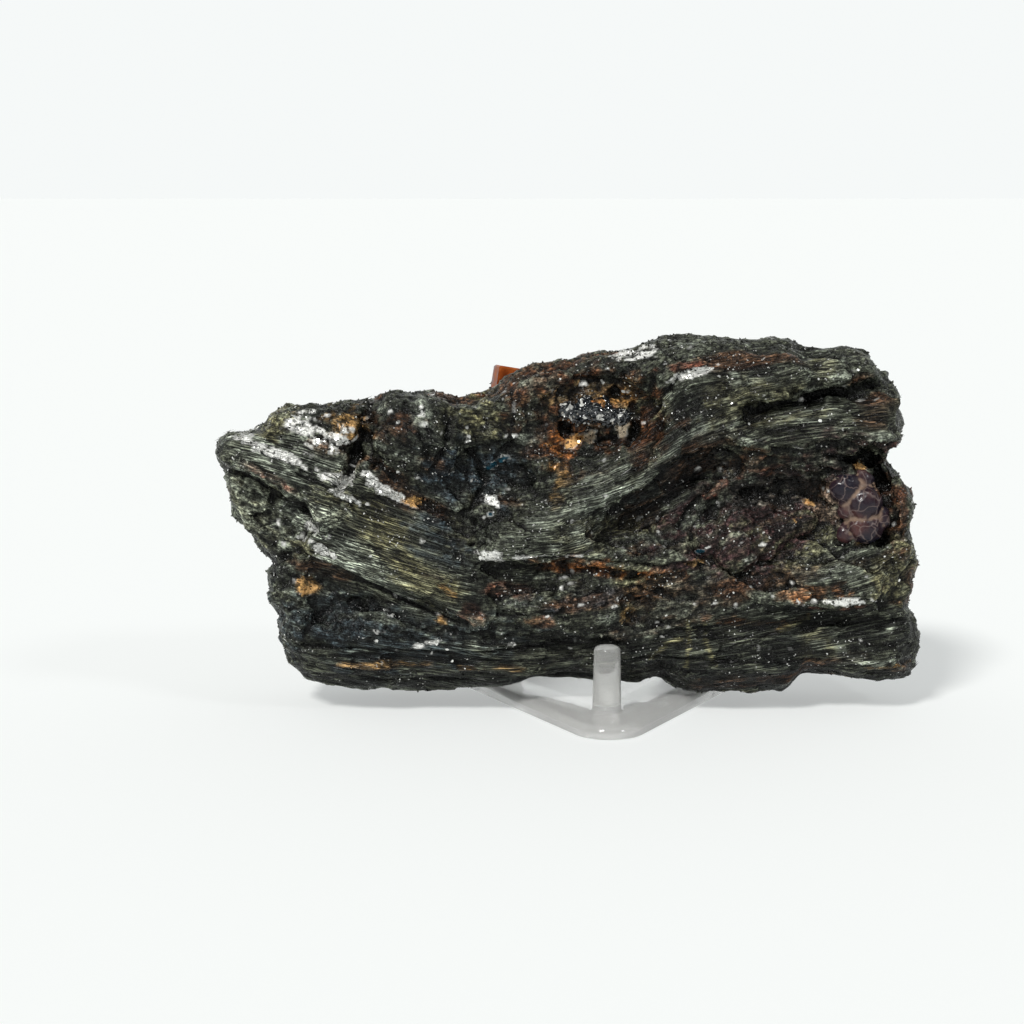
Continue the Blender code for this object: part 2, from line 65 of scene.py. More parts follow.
def mergedCopy(nodeName):
    # a CAD node's mesh is loose triangles, so its corners are merged first
    work = bmesh.new()
    work.from_mesh(nodes[nodeName].data)
    bmesh.ops.remove_doubles(work, verts=work.verts, dist=0.000005)
    mesh = bpy.data.meshes.new(nodeName + "Copy")
    work.to_mesh(mesh)
    work.free()
    return mesh


def grownCopy(nodeName, growth, push):
    # a node's shape made larger by growth mm all round and moved by push mm
    mesh = mergedCopy(nodeName)
    writePoints(mesh, readPoints(mesh) + readNormals(mesh) * growth + np.array(push))
    return mesh


def largestBody(mesh):
    # closed hollows inside the skin are left out
    work = bmesh.new()
    work.from_mesh(mesh)
    waiting = set(work.verts)
    bodies = []
    while waiting:
        fresh = [waiting.pop()]
        body = list(fresh)
        while fresh:
            for edge in fresh.pop().link_edges:
                for vertex in edge.verts:
                    if vertex in waiting:
                        waiting.remove(vertex)
                        fresh.append(vertex)
                        body.append(vertex)
        bodies.append(body)
    for body in sorted(bodies, key=len)[:-1]:
        bmesh.ops.delete(work, geom=body, context="VERTS")
    work.to_mesh(mesh)
    work.free()
    return mesh


def evenSkin(mesh, cell, smoothing):
    # small even faces over the solid, its facets melted away
    piece = placeObject("evenSkin", mesh)
    remesh = piece.modifiers.new("Even faces", "REMESH")
    remesh.mode = "VOXEL"
    remesh.voxel_size = cell * mm
    smooth = piece.modifiers.new("Melt facets", "SMOOTH")
    smooth.factor = 0.5
    smooth.iterations = smoothing
    return finishedMesh(piece)


def readPoints(mesh):
    points = np.empty(len(mesh.vertices) * 3)
    mesh.vertices.foreach_get("co", points)
    return points.reshape(-1, 3) / mm


def readNormals(mesh):
    normals = np.empty(len(mesh.vertices) * 3)
    mesh.vertex_normals.foreach_get("vector", normals)
    return normals.reshape(-1, 3)


def writePoints(mesh, points):
    mesh.vertices.foreach_set("co", (points * mm).ravel())
    mesh.update()


def storeValues(mesh, name, values):
    kind = "FLOAT" if values.ndim == 1 else "FLOAT_VECTOR"
    field = "value" if values.ndim == 1 else "vector"
    layer = mesh.attributes.new(name, kind, "POINT")
    layer.data.foreach_set(field, np.ascontiguousarray(values, dtype=np.float32).ravel())


def shadeSmooth(mesh):
    mesh.polygons.foreach_set("use_smooth", [True] * len(mesh.polygons))


def dress(mesh, material):
    mesh.materials.clear()
    mesh.materials.append(material)


def settle(piece, slotName, *replaced):
    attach(piece, "root")
    if replaced:
        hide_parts(*replaced)
    return piece


# Small helpers for materials

def newMaterial(name, **sockets):
    material = bpy.data.materials.new(name)
    material.use_nodes = True
    shader = material.node_tree.nodes["Principled BSDF"]
    for socket, value in sockets.items():
        shader.inputs[socket.replace("_", " ")].default_value = value
    return material, material.node_tree, shader


def addNode(tree, kind, **settings):
    # settings name a node's properties, or its sockets by name or by number
    node = tree.nodes.new(kind)
    for key, value in settings.items():
        if hasattr(node, key):
            setattr(node, key, value)
        else:
            name = key.replace("_", " ")
            socket = node.inputs[int(name[3:])] if name.startswith("in ") else node.inputs[name]
            if isinstance(value, bpy.types.NodeSocket):
                tree.links.new(value, socket)
            else:
                socket.default_value = value
    return node


def colorRamp(tree, source, stops):
    ramp = addNode(tree, "ShaderNodeValToRGB", Fac=source)
    elements = ramp.color_ramp.elements
    while len(elements) < len(stops):
        elements.new(0.5)
    for element, (place, color) in zip(elements, stops):
        element.position = place
        element.color = (*color, 1.0) if isinstance(color, tuple) else (color, color, color, 1.0)
    return ramp.outputs["Color"]


def mixColors(tree, how, share, first, second):
    mix = addNode(tree, "ShaderNodeMix", data_type="RGBA", blend_type=how)
    for socket, value in ((mix.inputs[0], share), (mix.inputs[6], first), (mix.inputs[7], second)):
        if isinstance(value, bpy.types.NodeSocket):
            tree.links.new(value, socket)
        else:
            socket.default_value = value
    return mix.outputs[2]


def compute(tree, how, first, second=0.0):
    return addNode(tree, "ShaderNodeMath", operation=how, in_0=first, in_1=second).outputs[0]


def stored(tree, name, output="Fac"):
    # a value kept with the mesh's points
    return addNode(tree, "ShaderNodeAttribute", attribute_name=name).outputs[output]


def objectPlace(tree):
    return addNode(tree, "ShaderNodeTexCoord").outputs["Object"]


def addNoise(tree, place, scale, detail, output="Fac", **settings):
    return addNode(tree, "ShaderNodeTexNoise", Vector=place, Scale=scale, Detail=detail, **settings).outputs[output]


def addBump(tree, shader, strength, depth, height):
    # depth in mm
    bump = addNode(tree, "ShaderNodeBump", Strength=strength, Distance=depth * mm, Height=height)
    tree.links.new(bump.outputs["Normal"], shader.inputs["Normal"])


# Camera, at the photograph's angle

view = {
    "place": (-5.75, -197.45, 51.2),  # mm
    "downward": 9.1,  # degrees
    "lens": 70.3,
}

camera = bpy.data.cameras.new("view")
camera.lens = view["lens"]
camera.sensor_width = 36
camera.clip_start = 0.01
camera.clip_end = 20
cameraObject = placeObject("view", camera)
cameraObject.location = Vector(view["place"]) * mm
cameraObject.rotation_euler = (math.radians(90 - view["downward"]), 0, 0)
scene.camera = cameraObject
print("Camera set")


# Floor and soft studio light

studio = {
    "floorColor": (0.50, 0.51, 0.505),
    "floorGlow": 0.42,  # the floor is lit from below too, which keeps its shadows pale
    "floorDepth": 0.05,  # mm below the stand, so that the two surfaces don't meet
    "backdrop": (0.92, 0.945, 0.94),
    "skyAbove": 0.36,
    "skyFront": 0.16,
    "skyBack": 1.2,
    # each light: direction that it shines in, strength, angular size in degrees, colour
    "lights": {
        "keyLight": ((0.34, 0.60, -0.72), 2.7, 11, (1.0, 0.99, 0.97)),
        "sideLight": ((-0.62, 0.50, -0.60), 0.4, 10, (0.97, 0.99, 1.0)),
    },
}


def buildSky():
    # the camera sees an even backdrop; the light itself is strongest from above
    world = bpy.data.worlds.new("softSky")
    world.use_nodes = True
    tree = world.node_tree
    direction = addNode(tree, "ShaderNodeTexCoord").outputs["Generated"]
    parts = addNode(tree, "ShaderNodeSeparateXYZ", Vector=direction)
    back = addNode(
        tree, "ShaderNodeMapRange", Value=parts.outputs["Y"], From_Min=-0.4, From_Max=0.5,
        To_Min=studio["skyFront"], To_Max=studio["skyBack"],
    )
    above = addNode(
        tree, "ShaderNodeMapRange", Value=parts.outputs["Z"], From_Min=0.25, From_Max=0.85, To_Min=0.0, To_Max=1.0
    )
    strength = addNode(
        tree, "ShaderNodeMix", data_type="FLOAT", in_0=above.outputs[0], in_2=back.outputs[0], in_3=studio["skyAbove"]
    )
    seen = addNode(tree, "ShaderNodeLightPath").outputs["Is Camera Ray"]
    light = addNode(tree, "ShaderNodeMix", data_type="FLOAT", in_0=seen, in_2=strength.outputs[0], in_3=1.0)
    background = tree.nodes["Background"]
    background.inputs["Color"].default_value = (*studio["backdrop"], 1.0)
    tree.links.new(light.outputs[0], background.inputs["Strength"])
    scene.world = world


def buildStudio():
    floorMesh = bpy.data.meshes.new("floor")
    work = bmesh.new()
    bmesh.ops.create_grid(work, x_segments=1, y_segments=1, size=15.0)
    bmesh.ops.translate(work, verts=work.verts, vec=(0, 0, -studio["floorDepth"] * mm))
    work.to_mesh(floorMesh)
    work.free()
    floorPiece = placeObject("floor", floorMesh)
    floorMaterial, _, _ = newMaterial(
        "paleFloor", Base_Color=(*studio["floorColor"], 1.0), Roughness=1.0, Specular_IOR_Level=0.0,
        Emission_Color=(*studio["backdrop"], 1.0), Emission_Strength=studio["floorGlow"],
    )
    floorMesh.materials.append(floorMaterial)
    buildSky()
    for name, (direction, strength, angle, color) in studio["lights"].items():
        light = bpy.data.lights.new(name, "SUN")
        light.energy = strength
        light.angle = math.radians(angle)
        light.color = color
        lamp = placeObject(name, light)
        lamp.location = -Vector(direction) * 300 * mm
        lamp.rotation_euler = Vector(direction).to_track_quat("-Z", "Y").to_euler()


buildStudio()
print("Studio set")


# Grain of the rock: lines that its fibres follow on the shown face, (X, Z) in mm from left to right

grain = {
    "lines": [
        [(-26, 20.5), (-18, 16), (-8.5, 10)],
        [(-22, 23), (-14, 18.5), (-7, 14)],
        [(-26, 17), (-19, 13)],
        [(-33.5, 27), (-28, 24.8), (-21.5, 22.6)],
        [(-33, 23.5), (-28, 19.5)],
        [(-32, 28), (-26, 28), (-20, 26)],
        [(-18, 31), (-12, 29), (-8, 29)],
        [(-17, 26), (-11, 24), (-6, 23)],
        [(-9.5, 17), (-1, 16.6), (4.7, 19.6), (12.4, 26), (18.2, 29.5)],
        [(-10, 19.5), (-4, 20.5), (3, 23.5), (9, 28), (15, 32), (21, 35)],
        [(4, 23.5), (7.8, 26.5), (9.4, 29.5), (10, 32.5)],
        [(-4, 33), (1, 34.6), (7, 35.6)],
        [(10, 35.6), (18, 35.8)],
        [(16, 28), (24, 29.4), (31, 30.4)],
        [(16, 32.6), (24, 34), (30, 33.6)],
        [(11, 16), (19, 19.5), (29, 22.5)],
        [(13, 21), (20, 24), (29, 25)],
        [(18, 11.8), (26, 13), (32, 16.5)],
        [(-9, 13), (2, 12.4), (12, 12.8)],
        [(-28, 10.5), (-20, 8.6), (-10, 7.2)],
        [(-27, 4.2), (-10, 4.2), (0, 4.4), (16, 4.6), (33, 5)],
        [(8, 8.4), (20, 8.8), (33, 9.6)],
    ],
    "cell": 1.25,  # mm, of the grid that the grain is worked out on
    "low": (-39.0, -3.0),
    "cells": (64, 36),
}


def buildGrain():
    # the direction at each grid point comes from the nearest lines, and two maps are fitted to it:
    # one rises along the fibres, the other across them
    countX, countZ = grain["cells"]
    cell = grain["cell"]
    gridX = grain["low"][0] + cell * np.arange(countX)
    gridZ = grain["low"][1] + cell * np.arange(countZ)
    x, z = np.meshgrid(gridX, gridZ, indexing="ij")
    alongX, alongZ = np.zeros_like(x), np.zeros_like(x)
    for line in grain["lines"]:
        for (x0, z0), (x1, z1) in zip(line, line[1:]):
            length = math.hypot(x1 - x0, z1 - z0)
            for share in np.arange(0.5, length) / length:
                gap = (x - x0 - share * (x1 - x0)) ** 2 + (z - z0 - share * (z1 - z0)) ** 2
                weight = 1 / (gap + 0.6) ** 2
                alongX += weight * (x1 - x0) / length
                alongZ += weight * (z1 - z0) / length
    size = np.hypot(alongX, alongZ)
    alongX, alongZ = alongX / size, alongZ / size

    number = np.arange(countX * countZ).reshape(countX, countZ)
    pairs = [(number[:-1].ravel(), number[1:].ravel()), (number[:, :-1].ravel(), number[:, 1:].ravel())]
    system = np.zeros((countX * countZ, countX * countZ))
    for low, high in pairs:
        np.add.at(system, (low, low), 1)
        np.add.at(system, (high, high), 1)
        np.add.at(system, (low, high), -1)
        np.add.at(system, (high, low), -1)
    system[0, 0] += 1
    wanted = np.zeros((countX * countZ, 2))
    for column, (runX, runZ) in enumerate(((alongX, alongZ), (-alongZ, alongX))):
        steps = [(runX[:-1] + runX[1:]).ravel() / 2 * cell, (runZ[:, :-1] + runZ[:, 1:]).ravel() / 2 * cell]
        for (low, high), step in zip(pairs, steps):
            np.add.at(wanted[:, column], high, step)
            np.add.at(wanted[:, column], low, -step)
    solved = np.linalg.solve(system, wanted).reshape(countX, countZ, 2)
    return np.dstack([alongX, alongZ, solved])


grainMap = buildGrain()
print("Grain worked out")


def readGrain(x, z):
    # four values for each point: direction X and Z, then place along and across the fibres in mm
    cell = grain["cell"]
    i = np.clip((x - grain["low"][0]) / cell, 0, grain["cells"][0] - 1.001)
    j = np.clip((z - grain["low"][1]) / cell, 0, grain["cells"][1] - 1.001)
    i0, j0 = i.astype(int), j.astype(int)
    fi, fj = (i - i0)[:, None], (j - j0)[:, None]
    low = grainMap[i0, j0] * (1 - fi) + grainMap[i0 + 1, j0] * fi
    high = grainMap[i0, j0 + 1] * (1 - fi) + grainMap[i0 + 1, j0 + 1] * fi
    return low * (1 - fj) + high * fj


# Rock: its colours

rockTints = {
    "base": (0.040, 0.043, 0.031),
    "blackGreen": (0.006, 0.007, 0.006),
    "blueBlack": (0.020, 0.028, 0.034),
    "greyGreen": (0.080, 0.088, 0.068),
    "paleGreen": (0.19, 0.21, 0.17),
    "olive": (0.105, 0.098, 0.050),
    "ochre": (0.27, 0.155, 0.050),
    "rust": (0.19, 0.068, 0.018),
    "darkRust": (0.062, 0.026, 0.012),
    "redBrown": (0.105, 0.036, 0.022),
    "purpleBrown": (0.034, 0.018, 0.018),
    "tan": (0.24, 0.17, 0.12),
}

# clouds of colour all over: tint, whether drawn out along the fibres, size in mm, seed,
# the noise that they start at, softness of their edges, strength
rockClouds = [
    ("greyGreen", False, 6.0, 3, 0.1, 0.3, 0.7),
    ("olive", False, 6.0, 3, 0.45, 0.2, 0.6),
    ("blackGreen", True, 2.6, 9, 0.1, 0.3, 0.7),
    ("darkRust", True, 2.2, 21, 0.42, 0.2, 0.7),
    ("paleGreen", True, 1.1, 22, 0.45, 0.2, 0.45),
]

# patches of the shown face: tint, centre X and Z, half sizes, turn in degrees, strength
rockPatches = [
    # near black along the bottom, where the face curves under: painted shade over the slab's own dark colour
    ("blackGreen", 3, 3.2, 34, 2.2, 0, 0.9),
    ("blueBlack", -18, 9.5, 12, 4, 0, 0.75),
    ("paleGreen", -29.4, 21.4, 3.8, 4.4, -35, 0.6),
    ("blackGreen", -30.2, 16.6, 3.2, 1.8, -30, 0.9),
    ("redBrown", -28.4, 24.0, 2.5, 0.5, -31, 0.95),
    ("paleGreen", -26.2, 26.4, 6.4, 2.2, -20, 0.5),
    ("ochre", -21.8, 28.8, 1.9, 1.2, 0, 0.7),
    ("darkRust", -23.2, 27.3, 1.7, 0.8, 0, 0.8),
    ("olive", -28.5, 29.2, 1.7, 1.6, 20, 0.85),
    ("greyGreen", -18.6, 17.0, 10.5, 4.6, -32, 0.95),
    ("olive", -18.4, 18.6, 7.6, 2.6, -32, 0.85),
    ("paleGreen", -23.4, 18.4, 5.4, 2.2, -32, 0.8),
    ("paleGreen", -20.6, 15.0, 5.2, 1.0, -32, 0.7),
    ("blueBlack", -13.0, 17.4, 3.4, 2.0, -30, 0.85),
    ("olive", -14.0, 13.6, 4.6, 1.6, -28, 0.6),
    ("ochre", -11.7, 12.9, 1.1, 0.25, -38, 0.9),
    ("ochre", -15.3, 21.6, 1.2, 0.45, -8, 0.9),
    ("blackGreen", -15.0, 28.4, 5.0, 4.4, 0, 0.75),
    ("darkRust", -17.2, 29.2, 2.0, 1.1, 0, 0.5),
    ("paleGreen", -14.2, 30.4, 0.8, 1.4, 10, 0.75),
    ("olive", -8.4, 29.6, 1.8, 2.4, 0, 0.95),
    ("blackGreen", -5.7, 29.6, 1.0, 2.4, 0, 0.7),
    ("blueBlack", -9.4, 24.0, 4.4, 3.4, 0, 0.9),
    ("darkRust", 0.6, 30.8, 5.8, 3.8, 0, 0.95),
    ("rust", 2.6, 30.8, 4.0, 2.0, 0, 0.6),
    ("olive", 0.6, 32.0, 4.2, 0.9, 10, 0.55),
    ("ochre", 4.2, 31.4, 2.0, 0.7, 10, 0.6),
    ("rust", -0.8, 26.6, 1.6, 2.0, -12, 0.85),
    ("ochre", -1.2, 24.8, 0.8, 1.6, 20, 0.6),
    ("ochre", -1.6, 22.2, 0.7, 1.0, 0, 0.75),
    ("blackGreen", 2.2, 29.4, 3.2, 0.9, 0, 0.9),
    ("darkRust", 7.2, 28.0, 1.5, 3.6, -16, 0.9),
    ("greyGreen", 1.4, 20.0, 6.2, 2.8, 22, 0.6),
    ("paleGreen", 0.2, 18.2, 3.4, 0.8, 14, 0.7),
    ("paleGreen", 2.6, 21.9, 3.4, 0.8, 24, 0.7),
    ("paleGreen", -3.6, 19.9, 0.9, 0.5, 0, 0.55),
    ("paleGreen", 7.9, 24.6, 3.0, 0.7, 42, 0.45),
    # painted shade: the trough below the sweeping band is coloured near black
    ("blackGreen", 8.6, 22.4, 6.6, 2.2, 38, 1.0),
    ("blackGreen", 11.8, 20.8, 1.6, 2.4, -20, 0.95),
    ("olive", 6.0, 19.0, 3.0, 0.9, 4, 0.45),
    ("olive", 17.2, 31.6, 4.2, 1.9, 14, 0.5),
    ("blackGreen", 16.0, 33.4, 8.6, 2.0, 14, 0.35),
    ("redBrown", 10.8, 34.8, 1.9, 0.35, 8, 0.8),
    ("darkRust", -4.2, 33.0, 3.4, 1.2, 20, 0.7),
    ("blackGreen", 22.6, 29.5, 7.6, 1.5, 9, 0.4),
    ("olive", 21.0, 29.9, 3.2, 0.6, 9, 0.4),
    ("blackGreen", 20.0, 7.6, 15, 3.0, 0, 0.85),
    ("greyGreen", 26.6, 34.2, 3.8, 1.4, 0, 0.4),
    # painted shade: the crevice above the right ledge is coloured near black
    ("blackGreen", 23.6, 31.5, 5.8, 0.55, 9, 0.97),
    ("purpleBrown", 21.0, 21.0, 10.4, 4.6, 18, 0.95),
    ("purpleBrown", 15.6, 17.0, 5.4, 2.8, 10, 0.95),
    ("blackGreen", 20.0, 22.4, 6.4, 1.4, 6, 0.9),
    ("darkRust", 17.2, 25.2, 4.0, 1.0, 8, 0.7),
    ("redBrown", 14.4, 22.8, 1.6, 0.6, 40, 0.6),
    # painted shade: the hole under the right ledge is coloured near black
    ("blackGreen", 27.1, 25.4, 2.2, 0.7, -8, 0.97),
    ("blackGreen", 21.8, 19.0, 3.2, 0.5, 22, 0.8),
    ("tan", 25.0, 21.4, 1.4, 1.8, 20, 0.55),
    ("tan", 28.9, 22.8, 0.6, 1.6, 0, 0.6),
    ("paleGreen", 17.6, 23.6, 0.4, 0.3, 0, 0.8),
    ("paleGreen", 17.0, 15.9, 0.6, 0.45, 20, 0.7),
    ("darkRust", 31.2, 20.6, 1.2, 4.0, 0, 0.8),
    ("rust", 1.6, 15.0, 4.4, 0.8, -6, 0.85),
    ("rust", 4.4, 14.6, 2.4, 0.5, -4, 0.8),
    ("ochre", 4.6, 15.1, 0.6, 0.3, 0, 0.9),
    ("ochre", 12.0, 15.5, 0.8, 0.2, 0, 0.9),
    ("rust", 9.2, 14.2, 3.4, 0.5, 0, 0.6),
    ("redBrown", -6.4, 13.0, 1.9, 0.6, -6, 0.75),
    ("redBrown", -9.8, 11.0, 1.3, 1.0, 0, 0.6),
    ("rust", -3.5, 10.0, 1.6, 0.5, 0, 0.35),
    ("ochre", -12.5, 9.8, 0.5, 0.5, 0, 0.9),
    ("ochre", -25.7, 13.4, 0.8, 0.7, 0, 0.9),
    ("ochre", 5.6, 10.5, 0.6, 0.6, 0, 0.9),
    ("blueBlack", 2.0, 12.0, 3.0, 1.2, 0, 0.7),
    ("greyGreen", 11.4, 11.4, 4.2, 2.4, 0, 0.6),
    ("greyGreen", 27.0, 15.4, 5.0, 2.2, 14, 0.7),
    ("olive", 31.2, 14.8, 2.2, 2.2, 50, 0.9),
    ("rust", 23.6, 12.8, 3.4, 0.7, 4, 0.7),
    ("ochre", 28.3, 17.4, 0.5, 0.3, 0, 0.9),
    ("redBrown", 27.2, 11.2, 2.8, 0.3, 4, 0.7),
    ("rust", 16.6, 9.6, 3.2, 0.5, 0, 0.35),
    ("ochre", -18.4, 5.4, 3.6, 0.3, 0, 0.5),
    ("ochre", -6.4, 4.9, 3.0, 0.3, 0, 0.5),
    ("ochre", 30.4, 4.8, 2.6, 0.2, 3, 0.5),
    ("ochre", 21.6, 9.4, 1.6, 0.15, 26, 0.5),
    ("blackGreen", -12.0, 3.3, 16, 0.5, 0, 0.9),
    ("blackGreen", 12.0, 5.6, 22, 0.35, 0, 0.85),
]

# flakes of silver mica, gold, cream and blue tarnish, placed as the patches are; the pale silver, gold and cream are
# partly the flakes' own colour and partly painted glints
shineTints = {
    "silver": (0.90, 0.90, 0.86),
    "gold": (0.80, 0.47, 0.19),
    "cream": (0.92, 0.76, 0.56),
    "blue": (0.008, 0.055, 0.085),
}

shinyPatches = [
    ("silver", -28.6, 26.6, 7.0, 0.45, -24, 0.9),
    ("silver", -24.6, 28.4, 2.6, 1.0, -8, 0.7),
    ("silver", -23.6, 24.4, 2.4, 0.5, -28, 0.8),
    ("gold", -21.6, 28.6, 1.2, 0.8, 0, 0.45),
    ("silver", -22.0, 22.6, 2.2, 0.25, -30, 0.8),
    ("silver", -18.2, 23.2, 2.6, 0.5, -30, 1.0),
    ("silver", -24.0, 17.4, 3.4, 1.4, -32, 0.4),
    ("gold", -15.3, 21.5, 1.1, 0.35, -8, 0.7),
    ("gold", -25.7, 13.4, 0.7, 0.6, 0, 0.6),
    ("gold", -12.5, 9.8, 0.45, 0.45, 0, 0.8),
    ("silver", -15.0, 7.2, 2.6, 0.35, 15, 0.5),
    ("silver", -14.2, 30.0, 0.4, 1.0, 10, 0.5),
    ("silver", -5.7, 29.6, 0.8, 2.0, 0, 0.35),
    ("silver", -7.7, 21.7, 0.7, 0.6, 0, 1.0),
    ("silver", -7.9, 16.5, 1.2, 0.55, 0, 1.0),
    ("silver", -2.6, 16.4, 3.0, 0.12, 0, 0.7),
    ("blue", -7.8, 24.8, 0.45, 0.3, 30, 0.75),
    ("blue", -6.5, 25.7, 0.45, 0.2, 30, 0.75),
    ("blue", -7.8, 20.4, 0.4, 0.2, 0, 0.7),
    ("blue", 12.7, 16.6, 0.5, 0.2, 0, 0.75),
    ("silver", 6.2, 35.9, 2.0, 0.7, 4, 0.6),
    ("silver", 11.6, 34.1, 1.9, 0.3, 15, 1.0),
    ("silver", 2.6, 33.0, 1.8, 0.2, 10, 0.6),
    ("silver", 1.2, 30.5, 1.6, 0.25, 0, 0.7),
    ("gold", 0.3, 27.3, 0.8, 0.4, 25, 0.75),
    ("cream", 1.8, 27.4, 0.35, 0.6, -30, 0.8),
    ("cream", 5.0, 28.8, 0.6, 0.9, 0, 1.0),
    ("gold", 3.8, 31.0, 1.4, 0.3, 10, 0.15),
    ("gold", 28.2, 24.8, 0.6, 0.6, 0, 1.0),
    ("gold", 22.1, 19.7, 0.7, 0.25, 0, 0.6),
    ("gold", 23.3, 21.2, 0.6, 0.3, 0, 0.6),
    ("silver", 26.3, 16.5, 1.0, 0.7, 0, 0.5),
    ("silver", 25.6, 12.0, 2.4, 0.3, 2, 1.0),
    ("silver", -0.6, 13.6, 1.4, 0.6, 40, 0.5),
    ("silver", 4.1, 11.3, 0.4, 0.3, 0, 0.7),
    ("silver", 1.0, 11.8, 2.4, 0.6, 20, 0.25),
]

# deep cracks in the shown face: line, depth and half width in mm
rockCracks = [
    ([(-9.1, 15.6), (-3.0, 16.1), (2.8, 15.9), (8.7, 15.4), (12.6, 15.6)], 0.5, 0.24),
    ([(15.8, 26.9), (20.0, 27.1), (23.4, 27.5), (26.2, 28.5)], 0.6, 0.16),
    ([(16.0, 28.3), (18.6, 27.6)], 0.5, 0.22),
    ([(24.6, 26.1), (27.2, 25.5), (29.2, 25.1)], 0.6, 0.28),
    ([(30.4, 17.5), (30.5, 21.7), (29.8, 24.8)], 0.7, 0.35),
    ([(-22.4, 22.5), (-21.0, 25.4), (-20.2, 28.5), (-19.4, 31.4)], 0.5, 0.25),
    ([(-26.0, 24.6), (-23.0, 23.6), (-19.0, 25.2)], 0.35, 0.25),
    ([(-26.8, 22.0), (-25.4, 20.2), (-26.2, 18.0)], 0.4, 0.25),
    ([(-25.6, 16.4), (-21.0, 14.2), (-17.0, 12.2), (-11.0, 9.6)], 0.4, 0.20),
    ([(4.0, 20.2), (7.6, 22.8), (11.0, 25.4)], 0.6, 0.50),
    ([(10.6, 19.0), (11.8, 21.0), (13.8, 23.4)], 0.6, 0.45),
    ([(18.8, 18.0), (21.6, 19.0), (24.2, 19.8)], 0.5, 0.30),
    ([(5.8, 30.8), (6.4, 28.8), (5.4, 27.2)], 0.6, 0.30),
    ([(-0.6, 28.7), (2.2, 28.5), (4.4, 28.6)], 0.5, 0.22),
    ([(-19.0, 3.5), (-8.0, 3.3), (4.0, 3.6)], 0.35, 0.16),
    ([(7.0, 5.9), (16.0, 5.6), (27.0, 5.5)], 0.35, 0.14),
    ([(8.0, 8.3), (16.0, 8.0), (22.0, 8.6)], 0.25, 0.12),
    ([(-27.0, 7.4), (-18.0, 6.9), (-9.0, 6.6), (0.0, 7.4)], 0.35, 0.16),
    ([(-10.0, 20.6), (-8.2, 23.4), (-9.6, 26.4)], 0.4, 0.30),
    ([(-13.6, 24.4), (-12.0, 27.0), (-11.2, 30.4)], 0.45, 0.30),
    ([(-6.2, 27.0), (-5.4, 30.2), (-5.8, 32.2)], 0.35, 0.25),
]

# thin mineral veins: lines of (X, Z) in mm
rockVeins = [
    [(11.5, 9.6), (11.6, 7.4), (11.4, 5.1)],
    [(13.2, 9.6), (13.3, 7.6), (14.1, 5.4)],
    [(8.0, 5.9), (9.4, 7.3), (10.9, 7.9)],
    [(20.6, 8.8), (23.4, 9.9)],
]

rockDetail = {
    "cell": 0.27,  # mm between points of the shown face
    "triangles": 194000,  # kept in all; the thinning falls on the sides and the back
    "smoothing": 8,
    "terraces": (1.25, 0.32),  # width across the fibres and height of the steps, mm
    "ribs": (0.5, 0.09),
    "grains": (0.85, 0.24),
    "crumbs": (0.42, 0.10),
    "chips": (2.3, 0.50),
    "veinWidth": 0.2,
    "patchWander": 0.8,  # how ragged the patches' edges are
    "hollowShadeAndRidgeLight": (15.0, 2.0),  # painted shade: how much darker small and broad hollows are painted, per mm; ridges are painted lighter the same way
}


def noiseAt(points, size, seed):
    # smooth random field, about -1 to 1, whose bumps are size mm across
    place = points / size + 200.0
    cell = np.floor(place).astype(int)
    share = place - cell
    share = share * share * (3 - 2 * share)
    table = np.random.default_rng(seed).uniform(-1, 1, (64, 64, 64))
    total = np.zeros(len(points))
    for corner in itertools.product((0, 1), repeat=3):
        weight = np.prod([share[:, k] if corner[k] else 1 - share[:, k] for k in range(3)], axis=0)
        i, j, k = ((cell + corner) % 64).T
        total += weight * table[i, j, k]
    return total


def hollowness(mesh, rounds):
    # how far each point lies below its surroundings, mm; negative on a ridge
    points, normals = readPoints(mesh), readNormals(mesh)
    edges = np.empty(len(mesh.edges) * 2, dtype=int)
    mesh.edges.foreach_get("vertices", edges)
    first, second = edges.reshape(-1, 2).T
    first, second = np.concatenate([first, second]), np.concatenate([second, first])
    count = 1 + np.bincount(first, minlength=len(points))
    middle = points.copy()
    for _ in range(rounds):
        around = [np.bincount(first, weights=middle[second, k], minlength=len(points)) for k in range(3)]
        middle = (middle + np.column_stack(around)) / count[:, None]
    return np.sum((middle - points) * normals, axis=1)


def patchStrength(x, z, wander, patch):
    _, centreX, centreZ, halfX, halfZ, turn, strength = patch
    c, s = math.cos(math.radians(turn)), math.sin(math.radians(turn))
    u = ((x - centreX) * c + (z - centreZ) * s) / halfX
    v = ((z - centreZ) * c - (x - centreX) * s) / halfZ
    inside = 1.25 - np.hypot(u, v) + wander
    return strength * np.clip(inside / 0.45, 0, 1)


def distanceToLine(x, z, line):
    nearest = np.full(x.shape, 1e9)
    for (x0, z0), (x1, z1) in zip(line, line[1:]):
        runX, runZ = x1 - x0, z1 - z0
        share = np.clip(((x - x0) * runX + (z - z0) * runZ) / (runX**2 + runZ**2), 0, 1)
        nearest = np.minimum(nearest, np.hypot(x - x0 - share * runX, z - z0 - share * runZ))
    return nearest


